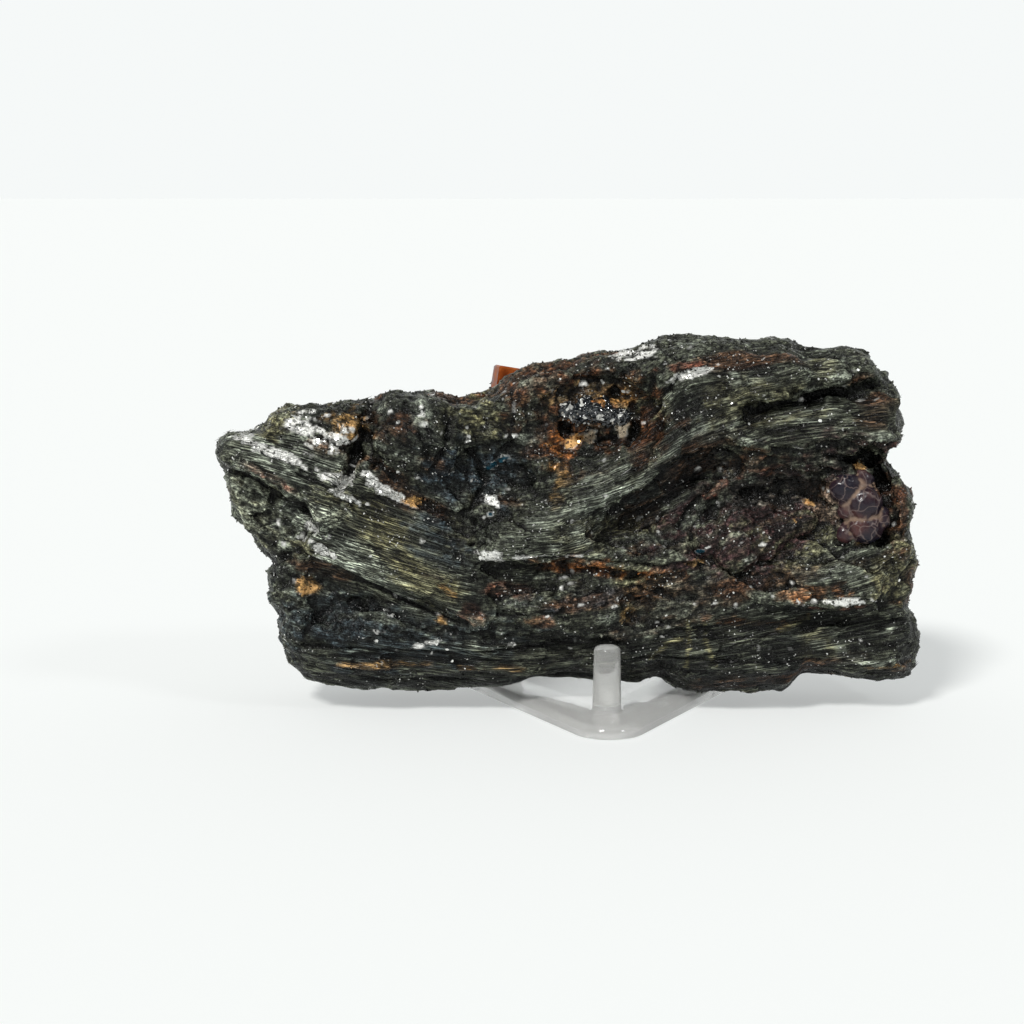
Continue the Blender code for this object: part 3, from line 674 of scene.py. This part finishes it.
def paintRock(mesh, points, normals, flow):
    # colour, and how silvery each spot is, from the patches; painted shade darkens the hollows and painted light
    # lightens the ridges
    x, z = points[:, 0], points[:, 2]
    facing = np.clip((-normals[:, 1] + 0.25) / 0.3, 0, 1) * np.clip((1.5 - points[:, 1]) / 1.5, 0, 1)
    tint = np.tile(rockTints["base"], (len(points), 1))
    stretched = np.column_stack([flow[:, 0] * 0.35, flow[:, 1], points[:, 1]])

    def lay(tint, name, share):
        return tint * (1 - share[:, None]) + np.array(rockTints[name]) * share[:, None]

    for name, streaked, size, seed, start, soft, strength in rockClouds:
        clouds = noiseAt(stretched if streaked else points, size, seed)
        tint = lay(tint, name, strength * np.clip((clouds - start) / soft, 0, 1))

    wander = 0.8 * noiseAt(stretched, 0.7, 5) + 0.6 * noiseAt(points, 2.0, 8) + 0.5 * noiseAt(points, 0.5, 10)
    wander = wander * rockDetail["patchWander"]
    mottled = facing * np.clip(0.8 + 0.9 * noiseAt(stretched, 0.45, 11), 0, 1)
    for patch in rockPatches:
        tint = lay(tint, patch[0], patchStrength(x, z, wander, patch) * mottled)
    for line in rockVeins:
        gap = distanceToLine(x, z, line)
        tint = lay(tint, "olive", 0.8 * facing * np.clip(1.4 - gap / rockDetail["veinWidth"] + wander, 0, 1))
    # painted shade in the hollows and painted light on the ridges, baked into the stored colour
    small, wide = rockDetail["hollowShadeAndRidgeLight"]
    shade = np.exp(-small * hollowness(mesh, 4) - wide * hollowness(mesh, 40))
    storeValues(mesh, "tint", tint * np.clip(shade, 0.06, 2.4)[:, None])

    # silver, gold and cream flake colour: partly the minerals' own, partly painted glints
    shineTint = np.tile(shineTints["silver"], (len(points), 1))
    blobs = 0.5 * noiseAt(stretched, 0.4, 24) + 0.3 * noiseAt(points, 0.5, 25)
    silvery = 0.45 * np.clip((noiseAt(points, 2.6, 31) - 0.62) / 0.1, 0, 1) * (1 - facing)
    for patch in shinyPatches:
        share = patchStrength(x, z, 1.2 * wander, patch) * facing
        shineTint = np.where((share > silvery)[:, None], shineTints[patch[0]], shineTint)
        silvery = np.maximum(silvery, share)
    storeValues(mesh, "shineTint", shineTint)
    storeValues(mesh, "silvery", np.clip((silvery - 0.5 + blobs) / 0.15, 0, 1))


fibrousPatches = [
    ("fan", -18.5, 17.2, 10, 5.2, -32, 1.0),
    ("band", -27.0, 25.8, 8, 2.2, -22, 1.0),
    ("sweep", 4.0, 22.0, 15, 4.2, 32, 0.7),
    ("ledge", 22.6, 29.4, 9, 1.9, 7, 1.0),
    ("crown", 16.0, 33.4, 11, 2.0, 14, 0.7),
    ("slab", 3.0, 4.6, 36, 3.4, 0, 1.0),
    ("rightFoot", 22.0, 8.4, 13, 2.6, 2, 0.9),
    ("bulge", 26.5, 14.8, 5, 2.0, 14, 0.6),
]


def dressAsRock(mesh, grainHere, fibrous):
    # stores what the shader and the scattered pieces read
    points = readPoints(mesh)
    storeValues(mesh, "flow", np.column_stack([grainHere[:, 2:], points[:, 1]]))
    storeValues(mesh, "fibrous", fibrous)
    storeValues(mesh, "grainy", np.clip(1.15 - fibrous, 0, 1))
    storeValues(mesh, "along", np.column_stack([grainHere[:, 0], np.zeros(len(points)), grainHere[:, 1]]))
    paintRock(mesh, points, readNormals(mesh), grainHere[:, 2:])


def carveRock(mesh):
    # steps and ribs along the fibres, chips and crumbs between them
    points, normals = readPoints(mesh), readNormals(mesh)
    grainHere = readGrain(points[:, 0], points[:, 2])
    flow = grainHere[:, 2:]
    x, z = points[:, 0], points[:, 2]
    fibrous = np.full(len(points), 0.2)
    wander = 0.3 * noiseAt(points, 2.6, 12)
    for patch in fibrousPatches:
        fibrous = np.maximum(fibrous, patchStrength(x, z, wander, patch))
    drawn = np.column_stack([flow[:, 0] / 6.0, flow[:, 1], points[:, 1]])

    width, height = rockDetail["terraces"]
    bent = np.column_stack([flow[:, 0] / 3.0, flow[:, 1], points[:, 1]])
    level = flow[:, 1] / width + 1.1 * noiseAt(bent, 2.4, 14)
    step = level - np.floor(level)
    broken = np.column_stack([flow[:, 0], 7 * np.floor(level), points[:, 1]])
    reach = np.clip(0.45 + 0.9 * noiseAt(broken, 4.5, 15), 0, 1)
    flat = patchStrength(x, z, wander, fibrousPatches[0])
    shift = height * reach * (0.55 + 0.45 * fibrous - 0.92 * flat) * np.minimum(1 - step, step / 0.12)
    size, height = rockDetail["ribs"]
    shift += fibrous * height * (1 - 0.65 * flat) * (noiseAt(drawn, size, 2) + 0.6 * noiseAt(drawn, size / 2, 4))
    size, height = rockDetail["grains"]
    shift += (1.15 - fibrous) * height * noiseAt(points, size, 6)
    size, height = rockDetail["crumbs"]
    shift += (1.1 - fibrous) * height * noiseAt(points, size, 7)
    size, height = rockDetail["chips"]
    lean = Vector((0.45, 0.35, 0.8))
    for i, (along, across, deep) in enumerate(drawn):
        place = Vector((along * 3, across, deep)) / size
        _, centres = noise.voronoi(place)
        shift[i] += height * (1.1 - 0.7 * fibrous[i]) * (place - centres[0]).dot(lean)
    shown = np.clip((1.5 - points[:, 1]) / 1.5, 0, 1)
    ragged = 1 + 0.5 * noiseAt(points, 0.9, 16)
    for line, depth, halfWidth in rockCracks:
        gap = distanceToLine(x + 0.25 * wander, z + 0.5 * wander, line)
        shift -= shown * depth * ragged * np.exp(-((gap / halfWidth) ** 2))
    writePoints(mesh, points + normals * (shift - shift.mean() - 0.12)[:, None])
    dressAsRock(mesh, grainHere, fibrous)


def thinnedBehind(mesh):
    # the shown face keeps its points, the sides and the back have fewer
    piece = placeObject("thinned", mesh)
    behind = piece.vertex_groups.new(name="behind")
    behind.add(np.flatnonzero(readPoints(mesh)[:, 1] > -1.0).tolist(), 1.0, "REPLACE")
    mesh.calc_loop_triangles()
    thin = piece.modifiers.new("Thin the back", "DECIMATE")
    thin.ratio = min(1.0, rockDetail["triangles"] / len(mesh.loop_triangles))
    thin.vertex_group = behind.name
    return finishedMesh(piece)


def rockMaterial():
    material, tree, shader = newMaterial("fibrousRock", Specular_IOR_Level=0.16)
    # the stored colour carries the painted hollow shade and ridge light
    tint = stored(tree, "tint", "Color")
    flow = stored(tree, "flow", "Vector")
    fibrous = stored(tree, "fibrous")
    silvery = stored(tree, "silvery")
    shineTint = stored(tree, "shineTint", "Color")
    place = objectPlace(tree)

    # long straight threads in the fibrous parts, a felt of short ones between
    threads = addNode(tree, "ShaderNodeMapping", Vector=flow, Scale=(0.030, 1.0, 0.5)).outputs["Vector"]
    threadNoise = addNoise(tree, threads, 8.2, 3.0, Roughness=0.68)
    hairs = addNode(tree, "ShaderNodeMapping", Vector=flow, Scale=(0.32, 1.0, 1.0)).outputs["Vector"]
    hairNoise = addNoise(tree, hairs, 5.4, 3.0, Roughness=0.65, Distortion=0.7)
    crumbNoise = addNoise(tree, place, 2300.0, 4.0, Roughness=0.7)
    felt = addNode(tree, "ShaderNodeMix", data_type="FLOAT", in_0=0.5, in_2=hairNoise, in_3=crumbNoise)
    pattern = addNode(
        tree, "ShaderNodeMix", data_type="FLOAT", in_0=fibrous, in_2=felt.outputs[0], in_3=threadNoise
    ).outputs[0]
    tone = colorRamp(tree, pattern, [(0.36, 0.01), (0.45, 0.12), (0.50, 0.42), (0.55, 1.1), (0.64, 3.8)])
    color = mixColors(tree, "MULTIPLY", 1.0, tint, tone)

    # tiny crystal faces, each turned its own way; some get a near-white painted glint as their colour, with a little
    # metallic shine
    specks = addNode(tree, "ShaderNodeTexVoronoi", Vector=place, Scale=8000.0)
    speckTone = addNode(tree, "ShaderNodeSeparateColor", Color=specks.outputs["Color"])
    clusters = addNoise(tree, place, 420.0, 2.0)
    glintSpecks = colorRamp(tree, speckTone.outputs[0], [(0.975, 0.0), (0.99, 1.0)])
    glintSpecks = compute(tree, "MULTIPLY", glintSpecks, colorRamp(tree, clusters, [(0.50, 0.0), (0.62, 1.0)]))
    # silvery patches: partly the mica's own pale colour, partly painted glints
    flaky = compute(tree, "MULTIPLY", silvery, colorRamp(tree, pattern, [(0.40, 0.0), (0.46, 1.0)]))
    micaAndPaintedGlints = compute(tree, "MAXIMUM", glintSpecks, flaky)
    color = mixColors(tree, "MIX", micaAndPaintedGlints, color, shineTint)
    tree.links.new(color, shader.inputs["Base Color"])
    tree.links.new(compute(tree, "MULTIPLY", micaAndPaintedGlints, 0.25), shader.inputs["Metallic"])
    gloss = colorRamp(tree, speckTone.outputs[1], [(0.2, 0.20), (0.8, 0.50)])
    tree.links.new(gloss, shader.inputs["Roughness"])

    relief = addNode(tree, "ShaderNodeBump", Strength=1.0, Distance=0.16 * mm, Height=pattern)
    lean = addNode(tree, "ShaderNodeVectorMath", operation="SUBTRACT", in_0=specks.outputs["Color"])
    lean.inputs[1].default_value = (0.5, 0.5, 0.5)
    lean = addNode(tree, "ShaderNodeVectorMath", operation="SCALE", in_0=lean.outputs[0], Scale=0.8)
    facets = addNode(
        tree, "ShaderNodeVectorMath", operation="ADD", in_0=relief.outputs["Normal"], in_1=lean.outputs[0]
    )
    facets = addNode(tree, "ShaderNodeVectorMath", operation="NORMALIZE", in_0=facets.outputs[0])
    tree.links.new(facets.outputs[0], shader.inputs["Normal"])
    return material


fibrousRock = rockMaterial()


# rock that closes in round each mineral: node, growth and push in mm
rockCollars = [
    ("zircon_knobs_right", 0.8, (0, 1.15, 0)),
    ("zircon_knobs_centre", 0.8, (0, 1.15, 0)),
    ("glassy_pocket_grains", 0.8, (0, 1.1, 0)),
    ("zircon_crystal", 0.45, (0.2, 0.8, -2.0)),
]


def buildRock():
    work = bmesh.new()
    work.from_mesh(mergedCopy("matrix_rock"))
    for nodeName, growth, push in rockCollars:
        work.from_mesh(grownCopy(nodeName, growth, push))
    mesh = bpy.data.meshes.new("rockAndCollars")
    work.to_mesh(mesh)
    work.free()
    mesh = largestBody(evenSkin(mesh, rockDetail["cell"], rockDetail["smoothing"]))
    carveRock(mesh)
    mesh = thinnedBehind(mesh)
    shadeSmooth(mesh)
    dress(mesh, fibrousRock)
    return settle(placeObject("rockSkin", mesh), "dark_rock", "matrix_rock")


rockSkin = buildRock()
print("Rock skin made:", len(rockSkin.data.loops) - 2 * len(rockSkin.data.polygons), "triangles")


# Zircon

zircon = {
    "cell": 0.14,
    "smoothing": 4,
    "lumps": (0.8, 0.14),
}


def zirconMaterial():
    material, tree, shader = newMaterial("purpleBrownZircon", Specular_IOR_Level=0.3)
    place = objectPlace(tree)
    clouds = addNoise(tree, place, 420.0, 4.0)
    color = colorRamp(
        tree, clouds, [(0.32, (0.008, 0.008, 0.016)), (0.5, (0.026, 0.014, 0.019)), (0.66, (0.075, 0.032, 0.030))]
    )
    bent = addNoise(tree, place, 700.0, 2.0, "Color")
    bent = addNode(tree, "ShaderNodeVectorMath", operation="SCALE", in_0=bent, Scale=1.6 * mm)
    bent = addNode(tree, "ShaderNodeVectorMath", operation="ADD", in_0=place, in_1=bent.outputs[0])
    cracks = addNode(
        tree, "ShaderNodeTexVoronoi", feature="DISTANCE_TO_EDGE", Vector=bent.outputs[0], Scale=560.0
    )
    edge = colorRamp(tree, cracks.outputs["Distance"], [(0.0, 0.8), (0.05, 0.0)])
    color = mixColors(tree, "MIX", edge, color, (0.16, 0.12, 0.11, 1.0))
    color = mixColors(tree, "MIX", stored(tree, "hollow"), color, (0.22, 0.15, 0.11, 1.0))
    tree.links.new(color, shader.inputs["Base Color"])
    fine = addNoise(tree, place, 2600.0, 4.0)
    tree.links.new(colorRamp(tree, fine, [(0.35, 0.18), (0.7, 0.5)]), shader.inputs["Roughness"])
    addBump(tree, shader, 0.5, 0.06, fine)
    return material


def buildZircon(nodeName, pieceName, material, dressed=False):
    # a dressed mass takes the colours of the rock round it
    mesh = evenSkin(mergedCopy(nodeName), zircon["cell"], zircon["smoothing"])
    hollow = np.clip(hollowness(mesh, 3) / 0.012, 0, 1)
    points, normals = readPoints(mesh), readNormals(mesh)
    size, height = zircon["lumps"]
    lumps = noiseAt(points, size, 3) + 0.5 * noiseAt(points, size / 2, 4)
    points += normals * (height * lumps - 0.05 * hollow)[:, None]
    writePoints(mesh, points)
    storeValues(mesh, "hollow", hollow)
    if dressed:
        dressAsRock(mesh, readGrain(points[:, 0], points[:, 2]), np.full(len(points), 0.1))
    shadeSmooth(mesh)
    dress(mesh, material)
    return settle(placeObject(pieceName, mesh), "purple_zircon", nodeName)


purpleZircon = zirconMaterial()
buildZircon("zircon_knobs_right", "rightKnobs", purpleZircon)
buildZircon("zircon_knobs_centre", "centreKnobs", fibrousRock, dressed=True)


def crystalMaterial():
    material, tree, shader = newMaterial("orangeZircon", Specular_IOR_Level=0.02)
    stripes = addNode(tree, "ShaderNodeMapping", Vector=objectPlace(tree), Scale=(1.0, 0.25, 1.0)).outputs["Vector"]
    growth = addNoise(tree, stripes, 900.0, 5.0)
    color = colorRamp(
        tree, growth, [(0.35, (0.12, 0.024, 0.006)), (0.52, (0.26, 0.058, 0.012)), (0.7, (0.42, 0.13, 0.035))]
    )
    tree.links.new(color, shader.inputs["Base Color"])
    tree.links.new(colorRamp(tree, growth, [(0.4, 0.3), (0.7, 0.55)]), shader.inputs["Roughness"])
    addBump(tree, shader, 0.4, 0.08, growth)
    return material


# Fibres, flakes and grains grown on the rock: small solids laid out over its skin

scatter = {
    # share: the skin's value that says where they grow, and the power that it is raised to
    # size: smallest and largest scale; tilt: most lean in degrees (roll, pitch, yaw)
    "fibres": {
        "count": 7.0, "floor": 0.02, "share": "fibrous", "power": 2.5, "size": (0.4, 1.15),
        "tilt": (40, 3, 3), "raise": 0.0, "seed": 11,
    },
    "grains": {
        "count": 1.7, "floor": 0.15, "share": "grainy", "power": 1.5, "size": (0.3, 1.0),
        "tilt": (180, 180, 180), "raise": 0.02, "seed": 23,
    },
    "mica": {
        "count": 7.0, "floor": 0.003, "share": "silvery", "power": 1.0, "size": (0.5, 1.7),
        "tilt": (35, 35, 180), "raise": 0.04, "seed": 37,
    },
    "pocketCrystals": {
        "count": 4.5, "floor": 1.0, "share": "hollow", "power": 1.0, "size": (0.7, 1.6),
        "tilt": (180, 180, 180), "raise": -0.05, "seed": 5,
    },
}


def solidFrom(name, rings, tips):
    # closed solid along X from rings of (x, y, z) corners in mm, closed at tips or flat
    work = bmesh.new()
    made = [[work.verts.new(Vector(corner) * mm) for corner in ring] for ring in rings]
    for first, second in zip(made, made[1:]):
        for i in range(len(first)):
            j = (i + 1) % len(first)
            work.faces.new((first[i], first[j], second[j], second[i]))
    for ring, tip in zip((made[0], made[-1]), tips):
        if tip is None:
            work.faces.new(ring)
        else:
            end = work.verts.new(Vector(tip) * mm)
            for i in range(len(ring)):
                work.faces.new((ring[i], ring[(i + 1) % len(ring)], end))
    bmesh.ops.recalc_face_normals(work, faces=work.faces)
    mesh = bpy.data.meshes.new(name)
    work.to_mesh(mesh)
    work.free()
    return placeObject(name, mesh)


def polygonRing(x, sides, halfY, halfZ, turn=0.0):
    angles = [2 * math.pi * (i + turn) / sides for i in range(sides)]
    return [(x, halfY * math.cos(angle), halfZ * math.sin(angle)) for angle in angles]


def fibreShape():
    return solidFrom("fibreShape", [polygonRing(0.1, 4, 0.035, 0.03, 0.5)], [(-0.7, 0, 0), (0.75, 0.01, 0)])


def flakeShape():
    ring = [(0.14, 0.02), (0.03, 0.10), (-0.13, 0.05), (-0.08, -0.09), (0.07, -0.08)]
    return solidFrom("flakeShape", [[(x, y, -0.01) for x, y in ring], [(x, y, 0.01) for x, y in ring]], [None, None])


def grainShape():
    tips = [(-0.24, 0.03, 0.02), (0.25, -0.02, 0.03)]
    return solidFrom("grainShape", [polygonRing(0.03, 4, 0.17, 0.13, 0.2)], tips)


def scatterTree(name, facts, shape, material):
    tree = bpy.data.node_groups.new(name, "GeometryNodeTree")
    tree.interface.new_socket("Geometry", in_out="OUTPUT", socket_type="NodeSocketGeometry")
    tree.interface.new_socket("Geometry", in_out="INPUT", socket_type="NodeSocketGeometry")
    inputs = {
        "Count per mm2": ("NodeSocketFloat", facts["count"]),
        "Floor": ("NodeSocketFloat", facts["floor"]),
        "Power": ("NodeSocketFloat", facts["power"]),
        "Smallest": ("NodeSocketFloat", facts["size"][0]),
        "Largest": ("NodeSocketFloat", facts["size"][1]),
        "Raise": ("NodeSocketFloat", facts["raise"] * mm),
        "Seed": ("NodeSocketInt", facts["seed"]),
        "Shape": ("NodeSocketObject", shape),
    }
    values = {}
    for label, (kind, value) in inputs.items():
        values[tree.interface.new_socket(label, in_out="INPUT", socket_type=kind).identifier] = value
    given = tree.nodes.new("NodeGroupInput").outputs
    share = addNode(tree, "GeometryNodeInputNamedAttribute", data_type="FLOAT", Name=facts["share"])
    shaped = compute(tree, "POWER", share.outputs[0], given["Power"])
    shaped = compute(tree, "MAXIMUM", shaped, given["Floor"])
    density = compute(tree, "MULTIPLY", shaped, compute(tree, "MULTIPLY", given["Count per mm2"], 1e6))
    points = addNode(
        tree, "GeometryNodeDistributePointsOnFaces", Mesh=given["Geometry"], Density=density, Seed=given["Seed"]
    )
    upright = addNode(tree, "FunctionNodeAlignRotationToVector", axis="Z", Vector=points.outputs["Normal"])
    along = addNode(tree, "GeometryNodeInputNamedAttribute", data_type="FLOAT_VECTOR", Name="along")
    laid = addNode(
        tree, "FunctionNodeAlignRotationToVector", axis="X", pivot_axis="Z",
        Rotation=upright.outputs[0], Vector=along.outputs[0],
    )
    lean = addNode(tree, "FunctionNodeRandomValue", data_type="FLOAT_VECTOR", Seed=given["Seed"])
    lean.inputs["Min"].default_value = [-math.radians(angle) for angle in facts["tilt"]]
    lean.inputs["Max"].default_value = [math.radians(angle) for angle in facts["tilt"]]
    toTurn = addNode(tree, "FunctionNodeEulerToRotation", Euler=lean.outputs[0])
    turned = addNode(
        tree, "FunctionNodeRotateRotation", rotation_space="LOCAL", Rotation=laid.outputs[0],
        Rotate_By=toTurn.outputs[0],
    )
    size = addNode(tree, "FunctionNodeRandomValue", data_type="FLOAT", Seed=compute(tree, "ADD", given["Seed"], 1))
    tree.links.new(given["Smallest"], size.inputs[2])
    tree.links.new(given["Largest"], size.inputs[3])
    lift = addNode(
        tree, "ShaderNodeVectorMath", operation="SCALE", in_0=points.outputs["Normal"], Scale=given["Raise"]
    )
    lifted = addNode(tree, "GeometryNodeSetPosition", Geometry=points.outputs["Points"], Offset=lift.outputs[0])
    shapeInfo = addNode(tree, "GeometryNodeObjectInfo", Object=given["Shape"])
    laidOut = addNode(
        tree, "GeometryNodeInstanceOnPoints", Points=lifted.outputs[0], Instance=shapeInfo.outputs["Geometry"],
        Rotation=turned.outputs[0], Scale=size.outputs[1],
    )
    tone = addNode(tree, "FunctionNodeRandomValue", data_type="FLOAT", Seed=compute(tree, "ADD", given["Seed"], 2))
    toned = addNode(
        tree, "GeometryNodeStoreNamedAttribute", data_type="FLOAT", domain="INSTANCE",
        Geometry=laidOut.outputs[0], Name="tone", Value=tone.outputs[1],
    )
    real = addNode(tree, "GeometryNodeRealizeInstances", Geometry=toned.outputs[0])
    finish = addNode(tree, "GeometryNodeSetMaterial", Geometry=real.outputs[0], Material=material)
    result = tree.nodes.new("NodeGroupOutput")
    tree.links.new(finish.outputs[0], result.inputs[0])
    return tree, values


def growOver(surface, name, facts, shape, material, slotName, *replaced):
    tree, values = scatterTree(name + "Tree", facts, shape, material)
    piece = placeObject(name, surface.data.copy())
    layout = piece.modifiers.new("Scatter", "NODES")
    layout.node_group = tree
    for identifier, value in values.items():
        layout[identifier] = value
    mesh = finishedMesh(piece)
    bpy.data.objects.remove(shape)
    dress(mesh, material)
    print(name, "made:", len(mesh.polygons), "faces")
    return settle(placeObject(name, mesh), slotName, *replaced)


def grownMaterial(name, source, tones, gloss, **sockets):
    # colour of the rock beneath, each small solid lighter or darker than the next
    material, tree, shader = newMaterial(name, **sockets)
    tone = stored(tree, "tone")
    color = mixColors(tree, "MULTIPLY", 1.0, stored(tree, source, "Color"), colorRamp(tree, tone, tones))
    tree.links.new(color, shader.inputs["Base Color"])
    tree.links.new(colorRamp(tree, tone, [(0.0, gloss[0]), (1.0, gloss[1])]), shader.inputs["Roughness"])
    return material


# fibres and grains take the rock's stored colour, painted hollow shade and ridge light included
growOver(
    rockSkin, "fibres", scatter["fibres"], fibreShape(),
    grownMaterial(
        "fibreFinish", "tint", [(0.0, 0.03), (0.6, 0.3), (0.88, 0.9), (1.0, 2.4)], (0.5, 0.3), Specular_IOR_Level=0.4
    ),
    "dark_rock",
)
growOver(
    rockSkin, "grains", scatter["grains"], grainShape(),
    grownMaterial(
        "grainFinish", "tint", [(0.0, 0.05), (0.5, 0.3), (0.85, 0.9), (1.0, 2.0)], (0.5, 0.25), Specular_IOR_Level=0.3
    ),
    "dark_rock",
)
growOver(
    rockSkin, "mica", scatter["mica"], flakeShape(),
    grownMaterial("micaFinish", "shineTint", [(0.0, 0.5), (0.6, 0.9), (1.0, 1.1)], (0.35, 0.15), Metallic=0.8),
    "dark_rock",
)


def glassyMaterial():
    material, tree, shader = newMaterial("darkGlassyMineral", Specular_IOR_Level=0.9, Roughness=0.08)
    color = colorRamp(
        tree, stored(tree, "tone"),
        [(0.0, (0.004, 0.006, 0.008)), (0.8, (0.02, 0.026, 0.03)), (1.0, (0.4, 0.38, 0.33))],
    )
    # painted glints: roughly one facet in seven is coloured near white
    facets = addNode(tree, "ShaderNodeTexVoronoi", Vector=objectPlace(tree), Scale=3000.0)
    glints = addNode(tree, "ShaderNodeSeparateColor", Color=facets.outputs["Color"]).outputs[0]
    color = mixColors(tree, "MIX", colorRamp(tree, glints, [(0.86, 0.0), (0.90, 0.8)]), color, (0.7, 0.7, 0.66, 1.0))
    tree.links.new(color, shader.inputs["Base Color"])
    addBump(tree, shader, 1.0, 0.2, facets.outputs["Distance"])
    return material


def buildPocketCrystals():
    mesh = evenSkin(mergedCopy("glassy_pocket_grains"), 0.16, 2)
    storeValues(mesh, "hollow", np.ones(len(mesh.vertices)))
    storeValues(mesh, "along", np.tile((1.0, 0.0, 0.0), (len(mesh.vertices), 1)))
    finish = glassyMaterial()
    dress(mesh, finish)
    core = settle(placeObject("pocketCore", mesh), "dark_glassy_mineral", "glassy_pocket_grains")
    growOver(core, "pocketCrystals", scatter["pocketCrystals"], grainShape(), finish, "dark_glassy_mineral")


buildPocketCrystals()
print("Fibres, flakes and grains grown")


crystalFacts = {
    "hinge": (1.3, 34.0),  # Y and Z of its front top edge, mm
    "droop": 7.0,  # degrees that it falls away behind that edge, so that its top is seen edge on
}


def buildCrystal():
    mesh = mergedCopy("zircon_crystal")
    points = readPoints(mesh)
    hingeY, hingeZ = crystalFacts["hinge"]
    droop = math.radians(crystalFacts["droop"])
    behind, above = points[:, 1] - hingeY, points[:, 2] - hingeZ
    points[:, 1] = hingeY + behind * math.cos(droop) + above * math.sin(droop)
    points[:, 2] = hingeZ + above * math.cos(droop) - behind * math.sin(droop)
    writePoints(mesh, points)
    dress(mesh, crystalMaterial())
    return settle(placeObject("orangeCrystal", mesh), "orange_zircon", "zircon_crystal")


buildCrystal()
print("Zircon made")


# Stand: one clear moulding, smooth

stand = {
    "centreX": 3.5,
    "frontY": -14.1,
    "thickness": 1.2,
    "side": 24.3,
    "cornerRadius": 3.6,
    "edgeRound": 0.8,
    "pegInset": 2.8,
    "pegTop": 7.7,
    "pegRadii": (1.3, 1.42),
    "fillet": 0.35,
}


def standCorners(inset):
    reach = stand["side"] / math.sqrt(3) - inset
    middleY = stand["frontY"] + stand["cornerRadius"] + stand["side"] / math.sqrt(3)
    corners = []
    for step in range(3):
        angle = math.radians(-90 + 120 * step)
        corners.append((stand["centreX"] + reach * math.cos(angle), middleY + reach * math.sin(angle)))
    return corners


def turnedPeg(x, y):
    thin, wide = stand["pegRadii"]
    top, foot, fillet = stand["pegTop"], stand["thickness"], stand["fillet"]
    profile = [(0.0, top), (thin * 0.5, top - 0.03), (thin * 0.8, top - 0.12), (thin * 0.95, top - 0.28)]
    profile += [(thin, top - 0.5), (wide, foot + fillet)]
    for step in range(1, 5):
        angle = math.radians(90 * step / 4)
        profile.append((wide + fillet * (1 - math.cos(angle)), foot + fillet * (1 - math.sin(angle))))
    profile += [(wide + fillet, foot * 0.6), (0.0, foot * 0.6)]
    mesh = bpy.data.meshes.new("peg")
    mesh.from_pydata([(r * mm, 0, h * mm) for r, h in profile], [(i, i + 1) for i in range(len(profile) - 1)], [])
    peg = placeObject("peg", mesh)
    screw = peg.modifiers.new("Turned", "SCREW")
    screw.steps = screw.render_steps = 48
    screw.use_merge_vertices = True
    screw.merge_threshold = 0.00001
    turned = finishedMesh(peg)
    turned.transform(Matrix.Translation((x * mm, y * mm, 0)))
    work = bmesh.new()
    work.from_mesh(turned)
    bmesh.ops.remove_doubles(work, verts=work.verts, dist=0.00001)
    bmesh.ops.recalc_face_normals(work, faces=work.faces)
    work.to_mesh(turned)
    work.free()
    return turned


def standPlate():
    work = bmesh.new()
    outline = []
    arcSteps = 20
    for number, (x, y) in enumerate(standCorners(0.0)):
        for step in range(arcSteps + 1):
            angle = math.radians(-150 + 120 * number + 120 * step / arcSteps)
            radius = stand["cornerRadius"]
            edgeX, edgeY = x + radius * math.cos(angle), y + radius * math.sin(angle)
            outline.append(work.verts.new((edgeX * mm, edgeY * mm, 0)))
    face = work.faces.new(outline)
    raised = bmesh.ops.extrude_face_region(work, geom=[face])["geom"]
    lift = [item for item in raised if isinstance(item, bmesh.types.BMVert)]
    bmesh.ops.translate(work, verts=lift, vec=(0, 0, stand["thickness"] * mm))
    bmesh.ops.recalc_face_normals(work, faces=work.faces)
    top = [edge for edge in work.edges if min(v.co.z for v in edge.verts) > 0.9 * stand["thickness"] * mm]
    bmesh.ops.bevel(
        work, geom=top, offset=stand["edgeRound"] * mm, segments=6, profile=0.5, affect="EDGES", clamp_overlap=False
    )
    mesh = bpy.data.meshes.new("plate")
    work.to_mesh(mesh)
    work.free()
    return mesh


def clearMaterial():
    material, tree, shader = newMaterial("clearAcrylic", Transmission_Weight=0.74, IOR=1.49)
    # painted shade: the pegs are coloured a little greyer than the plate, though the stand is one acrylic
    place = objectPlace(tree)
    height = addNode(tree, "ShaderNodeSeparateXYZ", Vector=place).outputs["Z"]
    height = compute(tree, "DIVIDE", height, stand["pegTop"] * mm)
    tones = [(0.15, (0.99, 0.99, 0.975)), (0.24, (0.80, 0.80, 0.78)), (0.9, (0.74, 0.74, 0.72))]
    tree.links.new(colorRamp(tree, height, tones), shader.inputs["Base Color"])
    scuffs = addNoise(tree, place, 1900.0, 4.0)
    tree.links.new(colorRamp(tree, scuffs, [(0.4, 0.08), (0.7, 0.22)]), shader.inputs["Roughness"])
    addBump(tree, shader, 0.15, 0.05, scuffs)
    return material


def buildStand():
    plate = placeObject("standPlate", standPlate())
    pegs = [placeObject("standPeg", turnedPeg(x, y)) for x, y in standCorners(stand["pegInset"])]
    for peg in pegs:
        join = plate.modifiers.new("Moulded on", "BOOLEAN")
        join.operation = "UNION"
        join.object = peg
    mesh = finishedMesh(plate)
    for peg in pegs:
        bpy.data.objects.remove(peg)
    shadeSmooth(mesh)
    mesh.set_sharp_from_angle(angle=math.radians(40))
    mesh.materials.append(clearMaterial())
    return settle(placeObject("clearStand", mesh), "clear_plastic", "acrylic_stand")


buildStand()
print("Stand made")
